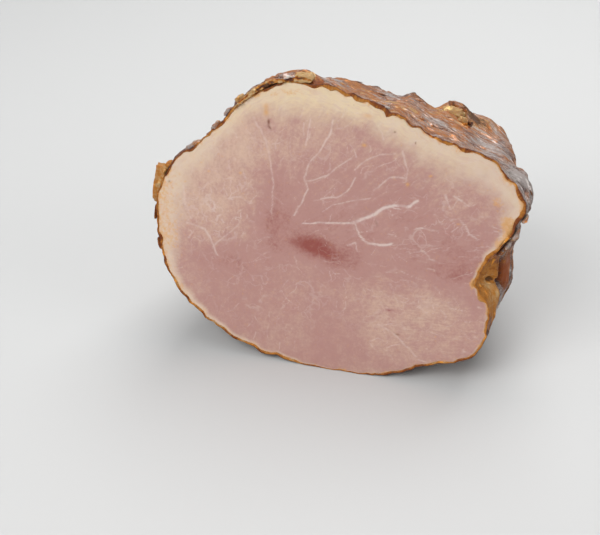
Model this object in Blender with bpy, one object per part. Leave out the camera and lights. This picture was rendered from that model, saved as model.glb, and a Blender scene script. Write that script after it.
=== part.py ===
"""Half of a boned, smoked ham: one flat cut face, a rough rind, resting on its underside.

The form is drawn in the ham's own frame first: across (x) and up (z) lie in the cut face, and depth (y)
runs from the cut face into the ham. The ham is then leaned back, set down and cut flat where it rests.
"""

import math

import bmesh
import bpy
from mathutils import Matrix, Vector, noise

# Driving dimensions, in metres and degrees
FACE_WIDTH = 0.262
FACE_HEIGHT = 0.212
DEPTH = 0.172
LEAN_BACK = 12.0
# How far the underside is flattened where the ham rests, and how near the floor the rind is pressed flat
SETTLE = 0.0045
PRESSED_FLAT = 0.0015

# The cut face's outline, anticlockwise from its right-hand bulge, as shares of half the face's width and
# half its height. The dip before the last two points is the mouth of the fold left by the bone.
FACE_OUTLINE = [
    (1.00, 0.33), (0.965, 0.45), (0.91, 0.53), (0.83, 0.61), (0.63, 0.69), (0.44, 0.775),
    (0.24, 0.87), (0.02, 0.96), (-0.19, 1.00), (-0.41, 0.94), (-0.55, 0.82), (-0.70, 0.60),
    (-0.86, 0.44), (-0.95, 0.26), (-0.99, 0.08), (-0.98, -0.13), (-0.93, -0.36), (-0.79, -0.61),
    (-0.52, -0.84), (-0.15, -0.97), (0.26, -0.99), (0.56, -0.84), (0.77, -0.75), (0.87, -0.60),
    (0.885, -0.45), (0.86, -0.31), (0.80, -0.21), (0.82, -0.05), (0.89, 0.06), (0.95, 0.19),
]

# How the sections change on the way back: a plain oval with one swollen shoulder takes over from the
# face's own outline, the sections draw in like a superellipse, and their centre drifts off the face's axis.
OVAL_HALF_WIDTH = 0.124
OVAL_HALF_HEIGHT = 0.093
OVAL_TAKES_OVER = 0.060
SHOULDER_CLOCK = 40.0
SHOULDER_SPREAD = 24.0
SHOULDER_SWELL = 0.11
PROFILE_AROUND_POWER = 0.80
PROFILE_DEPTH_POWER = 0.90
DRIFT_ACROSS = 0.020
DRIFT_UP = -0.012
DRIFT_POWER = 1.3

# The rind's relief: broad lumps, and wrinkles that are longer along the ham than around it
LUMP_SIZE = 0.046
LUMP_HEIGHT = 0.0050
WRINKLE_SIZE = Vector((0.016, 0.034, 0.016))
WRINKLE_HEIGHT = 0.0030
RELIEF_FADES_IN = 0.012
RELIEF_AT_FACE = 0.25

# Long folds between the muscles, which run together at the tapered end: clock angle and how deep they sink
FOLDS = {"upper_left": (132.0, 0.0050), "left": (186.0, 0.0065), "lower_left": (232.0, 0.0050),
         "lower_right": (300.0, 0.0055), "bone_fold": (356.0, 0.0050)}
FOLD_HALF_WIDTH = 0.011
FOLD_STARTS = 0.030
FOLD_IS_FULL = 0.080
FOLD_ENDS_AT_RADIUS = 0.050

# Single crags: clock angle on the face, depth, half-length around, half-length along, height
CRAGS = {
    "lifted_rind_fold": (113.0, 0.002, 0.022, 0.007, 0.0050),
    "side_lug": (171.0, 0.018, 0.012, 0.008, 0.0125),
    "crown_swell": (97.0, 0.034, 0.032, 0.026, 0.0090),
    "ridge_swell": (80.0, 0.062, 0.030, 0.030, 0.0075),
    "ridge_knob": (68.0, 0.084, 0.012, 0.012, 0.0060),
    "torn_fat_lump": (50.0, 0.072, 0.013, 0.011, 0.0090),
    "rear_hump": (37.0, 0.094, 0.024, 0.022, 0.0135),
    "upper_right_swell": (29.0, 0.050, 0.018, 0.022, 0.0095),
    "right_bulge": (20.0, 0.024, 0.018, 0.014, 0.0090),
    "fold_top_lip": (6.0, 0.020, 0.008, 0.012, 0.0050),
    "fold_cheek": (337.0, 0.050, 0.034, 0.024, 0.0140),
    "fold_crease": (346.0, 0.022, 0.026, 0.006, -0.0070),
    "underside_hollow": (250.0, 0.090, 0.040, 0.016, -0.0060),
}

# How finely the form is divided
AROUND = 108
ALONG = 40
CURVE_STEPS = 40
PROFILE_SAMPLES = 400
SMALLEST_EDGE = 0.0003


def smooth_step(value, start, end):
    """Goes smoothly from 0 at start to 1 at end."""
    share = min(max((value - start) / (end - start), 0.0), 1.0)
    return share * share * (3 - 2 * share)


def closed_curve_point(points, place):
    """A point on the closed Catmull-Rom curve through the points; place counts in points."""
    index = math.floor(place)
    share = place - index
    before, start, end, after = (Vector(points[(index + step) % len(points)]) for step in (-1, 0, 1, 2))
    bend = 2 * before - 5 * start + 4 * end - after
    twist = 3 * start - before - 3 * end + after
    return 0.5 * (2 * start + (end - before) * share + bend * share**2 + twist * share**3)


def evenly_spaced(points, count):
    """Picks count points at even distances along a dense closed line."""
    lengths = [0.0]
    for start, end in zip(points, points[1:] + points[:1]):
        lengths.append(lengths[-1] + (end - start).length)
    picked = []
    index = 0
    for step in range(count):
        target = lengths[-1] * step / count
        while lengths[index + 1] < target:
            index += 1
        share = (target - lengths[index]) / (lengths[index + 1] - lengths[index])
        picked.append(points[index].lerp(points[(index + 1) % len(points)], share))
    return picked


def face_outline():
    """The cut face's edge as evenly spaced points in the face's plane."""
    corners = [(x * FACE_WIDTH / 2, z * FACE_HEIGHT / 2) for x, z in FACE_OUTLINE]
    dense = [closed_curve_point(corners, step / CURVE_STEPS) for step in range(CURVE_STEPS * len(corners))]
    return evenly_spaced(dense, AROUND)


def profile():
    """Steps from the cut face to the tapered end: (share of the section left, depth), evenly spaced."""
    fine = []
    for step in range(PROFILE_SAMPLES + 1):
        turn = math.pi / 2 * step / PROFILE_SAMPLES
        share = max(math.cos(turn), 0.0) ** PROFILE_AROUND_POWER
        fine.append((share, DEPTH * math.sin(turn) ** PROFILE_DEPTH_POWER))
    lengths = [0.0]
    for (share_a, depth_a), (share_b, depth_b) in zip(fine, fine[1:]):
        lengths.append(lengths[-1] + math.hypot((share_b - share_a) * OVAL_HALF_WIDTH, depth_b - depth_a))
    steps = []
    index = 0
    for ring in range(ALONG):
        target = lengths[-1] * ring / ALONG
        while lengths[index + 1] < target:
            index += 1
        steps.append(fine[index])
    return steps


def section_centre(depth):
    """Where the section's centre has drifted to at this depth."""
    drift = (depth / DEPTH) ** DRIFT_POWER
    return Vector((DRIFT_ACROSS * drift, depth, DRIFT_UP * drift))


def section_point(edge, share, depth):
    """A point of the plain form: the face's outline turning into the oval, drawn in by share."""
    angle = math.atan2(edge.y, edge.x)
    oval = 1 / math.hypot(math.cos(angle) / OVAL_HALF_WIDTH, math.sin(angle) / OVAL_HALF_HEIGHT)
    off_shoulder = math.remainder(angle - math.radians(SHOULDER_CLOCK), math.tau)
    oval *= 1 + SHOULDER_SWELL * math.exp(-((off_shoulder / math.radians(SHOULDER_SPREAD)) ** 2))
    taken = smooth_step(depth, 0.0, OVAL_TAKES_OVER)
    radius = share * (edge.length + (oval - edge.length) * taken)
    return section_centre(depth) + radius * Vector((math.cos(angle), 0, math.sin(angle)))


def fold_height(angle, depth, radius):
    """How far the long folds sink the rind at a clock angle in radians, a depth and a radius."""
    total = 0.0
    for clock, sink in FOLDS.values():
        turn = math.remainder(angle - math.radians(clock), math.tau) * radius
        total -= sink * math.exp(-((turn / FOLD_HALF_WIDTH) ** 2))
    total *= smooth_step(depth, FOLD_STARTS, FOLD_IS_FULL)
    return total * smooth_step(radius, 0.0, FOLD_ENDS_AT_RADIUS)


def crag_height(angle, depth, radius):
    """The height of the single crags at a clock angle in radians and a depth."""
    total = 0.0
    for clock, crag_depth, around, along, height in CRAGS.values():
        turn = math.remainder(angle - math.radians(clock), math.tau) * radius
        distance = (turn / around) ** 2 + ((depth - crag_depth) / along) ** 2
        total += height * math.exp(-distance)
    return total


def relief_height(point):
    """The rind's lumps and wrinkles at a point of the plain form."""
    lumps = noise.noise(point / LUMP_SIZE)
    wrinkles = noise.noise(Vector(part / size for part, size in zip(point, WRINKLE_SIZE)))
    fade = RELIEF_AT_FACE + (1 - RELIEF_AT_FACE) * smooth_step(point.y, 0.0, RELIEF_FADES_IN)
    return fade * (LUMP_HEIGHT * lumps + WRINKLE_HEIGHT * wrinkles)


def extruded_form():
    """The plain form: the face's outline extruded ring by ring to the tapered end."""
    form = bmesh.new()
    bmesh.ops.create_circle(form, segments=AROUND, radius=1.0, cap_ends=True)
    ring = dict(zip(form.verts, face_outline()))
    ring_edges = form.edges[:]
    for vert, edge in ring.items():
        vert.co = section_point(edge, 1.0, 0.0)
    for share, depth in profile()[1:]:
        extruded = bmesh.ops.extrude_edge_only(form, edges=ring_edges)["geom"]
        ring_edges = [item for item in extruded if isinstance(item, bmesh.types.BMEdge)]
        next_ring = {}
        for vert in (item for item in extruded if isinstance(item, bmesh.types.BMVert)):
            neighbours = (edge.other_vert(vert) for edge in vert.link_edges)
            next_ring[vert] = next(ring[neighbour] for neighbour in neighbours if neighbour in ring)
            vert.co = section_point(next_ring[vert], share, depth)
        ring = next_ring
    tip = bmesh.ops.contextual_create(form, geom=ring_edges)["faces"]
    bmesh.ops.poke(form, faces=tip)
    bmesh.ops.recalc_face_normals(form, faces=form.faces[:])
    return form


def roughen(form):
    """Raises the relief and the crags, and keeps the cut face flat."""
    form.normal_update()
    moves = {}
    for vert in form.verts:
        centre = section_centre(vert.co.y)
        across = vert.co.x - centre.x
        up = vert.co.z - centre.z
        place = (math.atan2(up, across), vert.co.y, math.hypot(across, up))
        height = crag_height(*place) + fold_height(*place) + relief_height(vert.co)
        direction = vert.normal.copy()
        if vert.co.y < SMALLEST_EDGE:
            direction.y = 0.0
            direction.normalize()
        moves[vert] = direction * height
    for vert, move in moves.items():
        vert.co += move


def set_down(form):
    """Leans the ham back, cuts the flat spot it rests on, and puts the origin under its middle."""
    bmesh.ops.rotate(form, verts=form.verts[:], matrix=Matrix.Rotation(-math.radians(LEAN_BACK), 3, "X"))
    floor = min(vert.co.z for vert in form.verts) + SETTLE
    cut_face = max(form.faces, key=lambda face: face.calc_area())
    for vert in set(form.verts) - set(cut_face.verts):
        if vert.co.z < floor + PRESSED_FLAT:
            vert.co.z = min(vert.co.z, floor - PRESSED_FLAT)
    everything = form.verts[:] + form.edges[:] + form.faces[:]
    down = Vector((0, 0, -1))
    bmesh.ops.bisect_plane(form, geom=everything, plane_co=-floor * down, plane_no=-down, clear_inner=True)
    rim = [vert for vert in form.verts if vert.is_boundary]
    bmesh.ops.remove_doubles(form, verts=rim, dist=SMALLEST_EDGE)
    bmesh.ops.holes_fill(form, edges=[edge for edge in form.edges if edge.is_boundary], sides=0)
    xs, ys = ([vert.co[axis] for vert in form.verts] for axis in (0, 1))
    middle = Vector(((min(xs) + max(xs)) / 2, (min(ys) + max(ys)) / 2, floor))
    bmesh.ops.translate(form, verts=form.verts[:], vec=-middle)
    bmesh.ops.recalc_face_normals(form, faces=form.faces[:])


def rind_material():
    """Dark, smoked rind with a dull shine."""
    material = bpy.data.materials.new("smoked_rind")
    material.use_nodes = True
    shader = material.node_tree.nodes["Principled BSDF"]
    shader.inputs["Base Color"].default_value = (0.13, 0.045, 0.018, 1.0)
    shader.inputs["Roughness"].default_value = 0.42
    shader.inputs["Metallic"].default_value = 0.0
    return material


def meat_material():
    """Pale pink cured meat, moist where it was cut."""
    material = bpy.data.materials.new("cured_meat")
    material.use_nodes = True
    shader = material.node_tree.nodes["Principled BSDF"]
    shader.inputs["Base Color"].default_value = (0.56, 0.30, 0.25, 1.0)
    shader.inputs["Roughness"].default_value = 0.38
    shader.inputs["Metallic"].default_value = 0.0
    return material


def build_ham():
    """Makes the one solid, with the rind's material all over and the meat's on the cut face."""
    form = extruded_form()
    roughen(form)
    set_down(form)
    largest_cut = max(form.faces, key=lambda face: face.calc_area())
    largest_cut.material_index = 1
    mesh = bpy.data.meshes.new("ham")
    form.to_mesh(mesh)
    form.free()
    mesh.materials.append(rind_material())
    mesh.materials.append(meat_material())
    mesh.shade_smooth()
    mesh.set_sharp_from_angle(angle=math.radians(40))
    ham = bpy.data.objects.new("ham", mesh)
    bpy.context.scene.collection.objects.link(ham)
    return ham


def main():
    """Clears the scene and builds the ham."""
    for old in list(bpy.data.objects):
        bpy.data.objects.remove(old)
    build_ham()


if __name__ == "__main__":
    main()
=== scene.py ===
"""Half of a boned, smoked ham: a meat core in a wrinkled rind, with the lifted and torn bits of its edge.

The ham is drawn in its own frame first: across (x) and up (z) lie in the cut face, and depth (y) runs from
the cut face into the ham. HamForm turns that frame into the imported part's frame, where +Z is up.
"""

import logging
import math
import random
from dataclasses import dataclass
from enum import Enum

import bmesh
import bpy
import numpy as np
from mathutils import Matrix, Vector, noise


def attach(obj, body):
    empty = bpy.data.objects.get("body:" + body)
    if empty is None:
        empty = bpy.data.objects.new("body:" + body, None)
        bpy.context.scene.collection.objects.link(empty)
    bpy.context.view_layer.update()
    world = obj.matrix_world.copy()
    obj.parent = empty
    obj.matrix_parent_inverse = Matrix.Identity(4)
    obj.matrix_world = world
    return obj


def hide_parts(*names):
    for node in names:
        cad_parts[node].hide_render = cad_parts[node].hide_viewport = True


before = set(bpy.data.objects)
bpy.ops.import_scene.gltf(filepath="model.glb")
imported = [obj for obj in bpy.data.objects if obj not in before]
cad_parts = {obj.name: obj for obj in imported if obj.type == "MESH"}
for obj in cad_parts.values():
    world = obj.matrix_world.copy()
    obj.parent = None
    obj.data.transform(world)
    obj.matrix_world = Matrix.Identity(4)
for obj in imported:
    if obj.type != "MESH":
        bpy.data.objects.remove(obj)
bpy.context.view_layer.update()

LOG = logging.getLogger("ham")
MM = 0.001
TURN = math.tau
WELD_WITHIN = 1e-6

Array = np.ndarray
Triple = tuple[float, float, float]
Pairs = tuple[tuple[float, float], ...]
Socket = bpy.types.NodeSocket
Sockets = bpy.types.bpy_prop_collection
Colour = tuple[float, float, float, float]


# Small helpers for numbers and noise


def smooth_step(value: Array | float, start: float, end: float) -> Array:
    """Goes smoothly from 0 at start to 1 at end.

    Args:
        value: The numbers to place between start and end.
        start: Where the result is 0.
        end: Where the result is 1.

    Returns:
        One share from 0 to 1 for each value.
    """
    share = np.clip((np.asarray(value, float) - start) / (end - start), 0.0, 1.0)
    return share * share * (3 - 2 * share)


def wrapped(angle: Array | float) -> Array:
    """Brings angles in radians into the half turn on either side of zero."""
    return (np.asarray(angle, float) + math.pi) % TURN - math.pi


def noise_at(points: Array, size: float | Triple, seed: float = 0.0, octaves: int = 1) -> Array:
    """Reads smooth noise at many points.

    Args:
        points: Places in metres, with x, y and z in the last axis.
        size: The size of one bump in metres, alike or for each axis.
        seed: Moves the pattern, so that two readings differ.
        octaves: How many finer layers are added.

    Returns:
        About -1 to 1 for each point.
    """
    places = (points.reshape(-1, 3) / np.asarray(size) + seed * np.array((5.3, 1.7, 9.1))).tolist()
    if octaves > 1:
        values = (noise.fractal(place, 0.9, 2.1, octaves) for place in places)
    else:
        values = (noise.noise(place) for place in places)
    return np.fromiter(values, float, len(places)).reshape(points.shape[:-1])


# The form of the ham


@dataclass(frozen=True)
class Crag:
    """One rise or hollow of the rind.

    Attributes:
        clock: Its clock angle on the face, in degrees from the right, anticlockwise.
        depth: How far behind the cut face it is.
        around: Its half-length around the ham.
        along: Its half-length along the ham.
        height: How far it rises.
    """

    clock: float
    depth: float
    around: float
    along: float
    height: float

    def mask(self, angle: Array, depth: Array, radius: Array) -> Array:
        """Falls from 1 at its middle to 0 well outside it."""
        turn = wrapped(angle - math.radians(self.clock)) * radius
        return np.exp(-((turn / self.around) ** 2) - ((depth - self.depth) / self.along) ** 2)


@dataclass(frozen=True)
class HamForm:
    """The ham's sizes in metres and degrees, and the surface that they make.

    Attributes:
        face_width: The cut face's width.
        face_height: Its height.
        depth: How far the ham goes back behind it.
        lean_back: How far the face leans back.
        set_down: Where the face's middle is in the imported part's frame.
        outline_shares: The face's outline, in shares of half its width and half its height.
        oval_half_width: Half the width of the oval that the outline turns into.
        oval_half_height: Half its height.
        oval_takes_over: The depth where only the oval is left.
        shoulder_clock: Where the oval has its shoulder.
        shoulder_spread: How far the shoulder spreads to each side.
        shoulder_swell: How much wider the oval is there, as a share.
        profile_around_power: How full the taper is around the ham; lower is fuller.
        profile_depth_power: How the depth grows along the taper.
        drift_across: How far the tapered end is to the right of the face's middle.
        drift_up: How far it is above it.
        drift_power: How late that drift sets in.
        heart: A place well inside, which the rind faces away from.
        folds: Clock angles and depths of the long folds.
        fold_half_width: Their half-width.
        folds_set_in: The depths where the folds start and where they are whole.
        folds_end_at: The radius under which they shrink.
        crags: The large rises and hollows.
        lump_height: How high the lumps are.
        lump_size: How wide they are.
        wrinkle_height: How high the coarse wrinkles are.
        wrinkle_size: How wide they are along each axis.
        relief_at_face: The share of lumps and wrinkles at the cut face.
        relief_sets_in: The depth where they are whole.
        pressed: The height under which the underside is pressed flat.
    """

    face_width: float = 0.262
    face_height: float = 0.212
    depth: float = 0.172
    lean_back: float = 12.0
    set_down: Triple = (0.00127, -0.07455, 0.10053)
    outline_shares: Pairs = (
        (1.00, 0.33), (0.965, 0.45), (0.91, 0.53), (0.83, 0.61), (0.63, 0.69), (0.44, 0.775),
        (0.24, 0.87), (0.02, 0.96), (-0.19, 1.00), (-0.41, 0.94), (-0.55, 0.82), (-0.70, 0.60),
        (-0.86, 0.44), (-0.95, 0.26), (-0.99, 0.08), (-0.98, -0.13), (-0.93, -0.36), (-0.79, -0.61),
        (-0.52, -0.84), (-0.15, -0.97), (0.26, -0.99), (0.56, -0.84), (0.77, -0.75), (0.87, -0.60),
        (0.885, -0.45), (0.86, -0.31), (0.80, -0.21), (0.82, -0.05), (0.89, 0.06), (0.95, 0.19),
    )
    oval_half_width: float = 0.124
    oval_half_height: float = 0.093
    oval_takes_over: float = 0.060
    shoulder_clock: float = 40.0
    shoulder_spread: float = 24.0
    shoulder_swell: float = 0.11
    profile_around_power: float = 0.80
    profile_depth_power: float = 0.90
    drift_across: float = 0.020
    drift_up: float = -0.012
    drift_power: float = 1.3
    heart: Triple = (0.0, 0.06, 0.0)
    folds: Pairs = (
        (132.0, 0.0050), (186.0, 0.0065), (232.0, 0.0050), (300.0, 0.0055), (356.0, 0.0050),
    )
    fold_half_width: float = 0.011
    folds_set_in: tuple[float, float] = (0.030, 0.080)
    folds_end_at: float = 0.050
    lump_height: float = 5.0 * MM
    lump_size: float = 0.046
    wrinkle_height: float = 3.0 * MM
    wrinkle_size: Triple = (0.016, 0.034, 0.016)
    relief_at_face: float = 0.25
    relief_sets_in: float = 0.012
    pressed: float = 2.0 * MM
    crags: tuple[Crag, ...] = (
        Crag(113.0, 0.009, 0.024, 0.0055, 0.0050),
        Crag(171.0, 0.018, 0.012, 0.008, 0.0060),
        Crag(97.0, 0.034, 0.032, 0.026, 0.0090),
        Crag(80.0, 0.062, 0.030, 0.030, 0.0075),
        Crag(68.0, 0.084, 0.012, 0.012, 0.0042),
        Crag(50.0, 0.072, 0.013, 0.011, 0.0090),
        Crag(37.0, 0.094, 0.024, 0.022, 0.0135),
        Crag(29.0, 0.050, 0.018, 0.022, 0.0095),
        Crag(20.0, 0.024, 0.018, 0.014, 0.0090),
        Crag(6.0, 0.020, 0.008, 0.012, 0.0050),
        Crag(337.0, 0.050, 0.034, 0.024, 0.0140),
        Crag(346.0, 0.022, 0.026, 0.006, -0.0070),
        Crag(250.0, 0.090, 0.040, 0.016, -0.0060),
        Crag(72.0, 0.0, 0.036, 0.016, 0.0042),
        Crag(38.0, 0.0, 0.018, 0.013, 0.0046),
    )

    def outline(self, count: int) -> Array:
        """Draws the cut face's edge as a closed smooth curve.

        Args:
            count: How many evenly spaced points to give.

        Returns:
            The points' x and z in the ham's own frame, one row each.
        """
        corners = np.array(self.outline_shares) * (self.face_width / 2, self.face_height / 2)
        steps = np.arange(0, len(corners), 1 / 60)
        index = np.floor(steps).astype(int)
        share = (steps - index)[:, None]
        before, start, end, after = (corners[(index + step) % len(corners)] for step in (-1, 0, 1, 2))
        bend = 2 * before - 5 * start + 4 * end - after
        twist = 3 * start - before - 3 * end + after
        dense = 0.5 * (2 * start + (end - before) * share + bend * share**2 + twist * share**3)
        closed = np.vstack((dense, dense[:1]))
        lengths = np.concatenate(((0.0,), np.cumsum(np.linalg.norm(np.diff(closed, axis=0), axis=1))))
        wanted = np.arange(count) / count * lengths[-1]
        return np.stack([np.interp(wanted, lengths, closed[:, axis]) for axis in (0, 1)], axis=1)

    def profile(self, places: Array) -> tuple[Array, Array, Array]:
        """Follows the rind from the cut face to the tapered end.

        Args:
            places: Where to look, as shares of the whole way, from 0 to 1.

        Returns:
            The share of the section that is left, the depth, and the way from the cut face, for each place.
        """
        turn = np.linspace(0.0, math.pi / 2, 2001)
        share = np.maximum(np.cos(turn), 0.0) ** self.profile_around_power
        depth = self.depth * np.sin(turn) ** self.profile_depth_power
        steps = np.hypot(np.diff(share) * self.oval_half_width, np.diff(depth))
        lengths = np.concatenate(((0.0,), np.cumsum(steps)))
        wanted = np.asarray(places) * lengths[-1]
        return np.interp(wanted, lengths, share), np.interp(wanted, lengths, depth), wanted

    def centre(self, depth: Array) -> Array:
        """Gives the middle of the section at each depth, in the ham's own frame."""
        drift = (depth / self.depth) ** self.drift_power
        return np.stack((self.drift_across * drift, depth, self.drift_up * drift), axis=-1)

    def face_radius(self, angle: Array) -> Array:
        """Reads how far the outline is from the ham's axis.

        Args:
            angle: Clock angles in radians.

        Returns:
            Radii in metres.
        """
        edge = self.outline(720)
        angles = np.arctan2(edge[:, 1], edge[:, 0])
        order = np.argsort(angles)
        return np.interp(wrapped(angle), angles[order], np.hypot(*edge[order].T), period=TURN)

    def plain_radius(self, angle: Array, share: Array, depth: Array) -> Array:
        """Gives the plain form's radius, where the face's outline turns into an oval.

        Args:
            angle: Clock angles in radians.
            share: The share of the section that is left.
            depth: How far behind the cut face.

        Returns:
            Radii in metres.
        """
        oval = 1 / np.hypot(np.cos(angle) / self.oval_half_width, np.sin(angle) / self.oval_half_height)
        off_shoulder = wrapped(angle - math.radians(self.shoulder_clock)) / math.radians(self.shoulder_spread)
        oval = oval * (1 + self.shoulder_swell * np.exp(-(off_shoulder**2)))
        taken = smooth_step(depth, 0.0, self.oval_takes_over)
        edge = self.face_radius(angle)
        return share * (edge + (oval - edge) * taken)

    def plain_points(self, angle: Array, share: Array, depth: Array) -> Array:
        """Places points on the plain form.

        Args:
            angle: Clock angles in radians.
            share: The share of the section that is left.
            depth: How far behind the cut face.

        Returns:
            Places in the ham's own frame.
        """
        radius = self.plain_radius(angle, share, depth)
        spoke = np.stack((np.cos(angle), np.zeros_like(angle), np.sin(angle)), axis=-1)
        return self.centre(depth) + radius[..., None] * spoke

    def rise(self, points: Array, angle: Array, depth: Array, radius: Array) -> Array:
        """Adds up the large relief: crags, long folds, lumps and wrinkles.

        Args:
            points: Places on the plain form.
            angle: Their clock angles in radians.
            depth: Their depths.
            radius: Their radii.

        Returns:
            How far each point stands out from the plain form.
        """
        total = sum(crag.height * crag.mask(angle, depth, radius) for crag in self.crags)
        folds = np.zeros_like(depth)
        for clock, sink in self.folds:
            turn = wrapped(angle - math.radians(clock)) * radius
            folds -= sink * np.exp(-((turn / self.fold_half_width) ** 2))
        total = total + folds * smooth_step(depth, *self.folds_set_in) * smooth_step(
            radius, 0.0, self.folds_end_at
        )
        fade = self.relief_at_face + (1 - self.relief_at_face) * smooth_step(depth, 0.0, self.relief_sets_in)
        lumps = self.lump_height * noise_at(points, self.lump_size)
        return total + fade * (lumps + self.wrinkle_height * noise_at(points, self.wrinkle_size))

    def spot(self, clock: float, depth: float) -> tuple[Array, Array, Array, Array]:
        """Finds one place on the rind, with its large relief.

        Args:
            clock: Its clock angle in degrees.
            depth: How far behind the cut face it is.

        Returns:
            The place, then the ways out of the rind, around the ham and along it, in the ham's own frame.
        """
        turns = np.radians((clock, clock - 1, clock + 1, clock, clock))
        depths = np.maximum((depth, depth, depth, depth - MM, depth + MM), 0.0)
        shares, places, _ = self.profile(np.linspace(0.0, 1.0, 800))
        share = np.interp(depths, places, shares)
        plain = self.plain_points(turns, share, depths)
        around = (plain[2] - plain[1]) / np.linalg.norm(plain[2] - plain[1])
        along = (plain[4] - plain[3]) / np.linalg.norm(plain[4] - plain[3])
        out = np.cross(around, along)
        out *= np.sign(out @ (plain[0] - self.heart))
        rise = self.rise(plain, turns, depths, self.plain_radius(turns, share, depths))[0]
        return plain[0] + out * rise, out, around, along

    def to_part(self, points: Array) -> Array:
        """Leans points back, sets them down and presses what would sink into the floor flat.

        Args:
            points: Places in the ham's own frame.

        Returns:
            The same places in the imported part's frame.
        """
        lean = math.radians(self.lean_back)
        x, y, z = (points[..., axis] for axis in range(3))
        back = y * math.cos(lean) + z * math.sin(lean)
        up = z * math.cos(lean) - y * math.sin(lean)
        placed = np.stack((x, back, up), axis=-1) + np.array(self.set_down)
        height = placed[..., 2]
        sunk = np.minimum(height, self.pressed) - self.pressed
        placed[..., 2] = np.where(height < self.pressed, self.pressed * np.exp(sunk / self.pressed), height)
        return placed


# Meshes


def saved(form: bmesh.types.BMesh, name: str) -> bpy.types.Mesh:
    """Turns a finished form into a mesh.

    Args:
        form: The form, which is used up.
        name: The mesh's name.

    Returns:
        The mesh.
    """
    mesh = bpy.data.meshes.new(name)
    form.to_mesh(mesh)
    form.free()
    return mesh


def linked(name: str, data: bpy.types.ID) -> bpy.types.Object:
    """Puts a mesh, lamp or camera in the scene as an object at the origin.

    Args:
        name: The object's name.
        data: The mesh, lamp or camera.

    Returns:
        The object.
    """
    holder = bpy.data.objects.new(name, data)
    bpy.context.scene.collection.objects.link(holder)
    return holder


def grid_mesh(name: str, points: Array) -> tuple[bpy.types.Mesh, Array]:
    """Makes a closed skin from a grid whose ends meet.

    Args:
        name: The mesh's name.
        points: Rows and columns of places in the part's frame.

    Returns:
        The mesh, and for each of its vertices the number of the grid point that it came from.
    """
    rows, columns = points.shape[:2]
    form = bmesh.new()
    bmesh.ops.create_grid(form, x_segments=columns - 1, y_segments=rows - 1, size=1.0)
    source = form.verts.layers.int.new("source")
    for number, (vert, place) in enumerate(zip(form.verts, points.reshape(-1, 3).tolist())):
        vert.co = place
        vert[source] = number
    bmesh.ops.remove_doubles(form, verts=form.verts[:], dist=WELD_WITHIN)
    bmesh.ops.dissolve_degenerate(form, edges=form.edges[:], dist=WELD_WITHIN)
    bmesh.ops.recalc_face_normals(form, faces=form.faces[:])
    order = np.array([vert[source] for vert in form.verts])
    form.verts.layers.int.remove(source)
    return saved(form, name), order


def paint(mesh: bpy.types.Mesh, masks: dict[str, Array]) -> None:
    """Stores one number, or one vector, for each vertex under each name.

    Args:
        mesh: The mesh to store them on.
        masks: The numbers or vectors by name.
    """
    for name, values in masks.items():
        layer = mesh.attributes.new(name, "FLOAT" if values.ndim == 1 else "FLOAT_VECTOR", "POINT")
        key = "value" if values.ndim == 1 else "vector"
        layer.data.foreach_set(key, np.ascontiguousarray(values, np.float32).reshape(-1))


def finish_piece(
    mesh: bpy.types.Mesh, material: bpy.types.Material, stands_for_ham: bool = False
) -> bpy.types.Object:
    """Makes a mesh a piece of the ham.

    Args:
        mesh: The finished mesh, in the part's frame.
        material: Its finish.
        stands_for_ham: Whether the piece replaces the plain solid.

    Returns:
        The linked object.
    """
    mesh.materials.append(material)
    mesh.shade_smooth()
    piece = linked(mesh.name, mesh)
    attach(piece, "root")
    if stands_for_ham:
        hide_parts("ham")
    return piece


# Shader building


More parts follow.
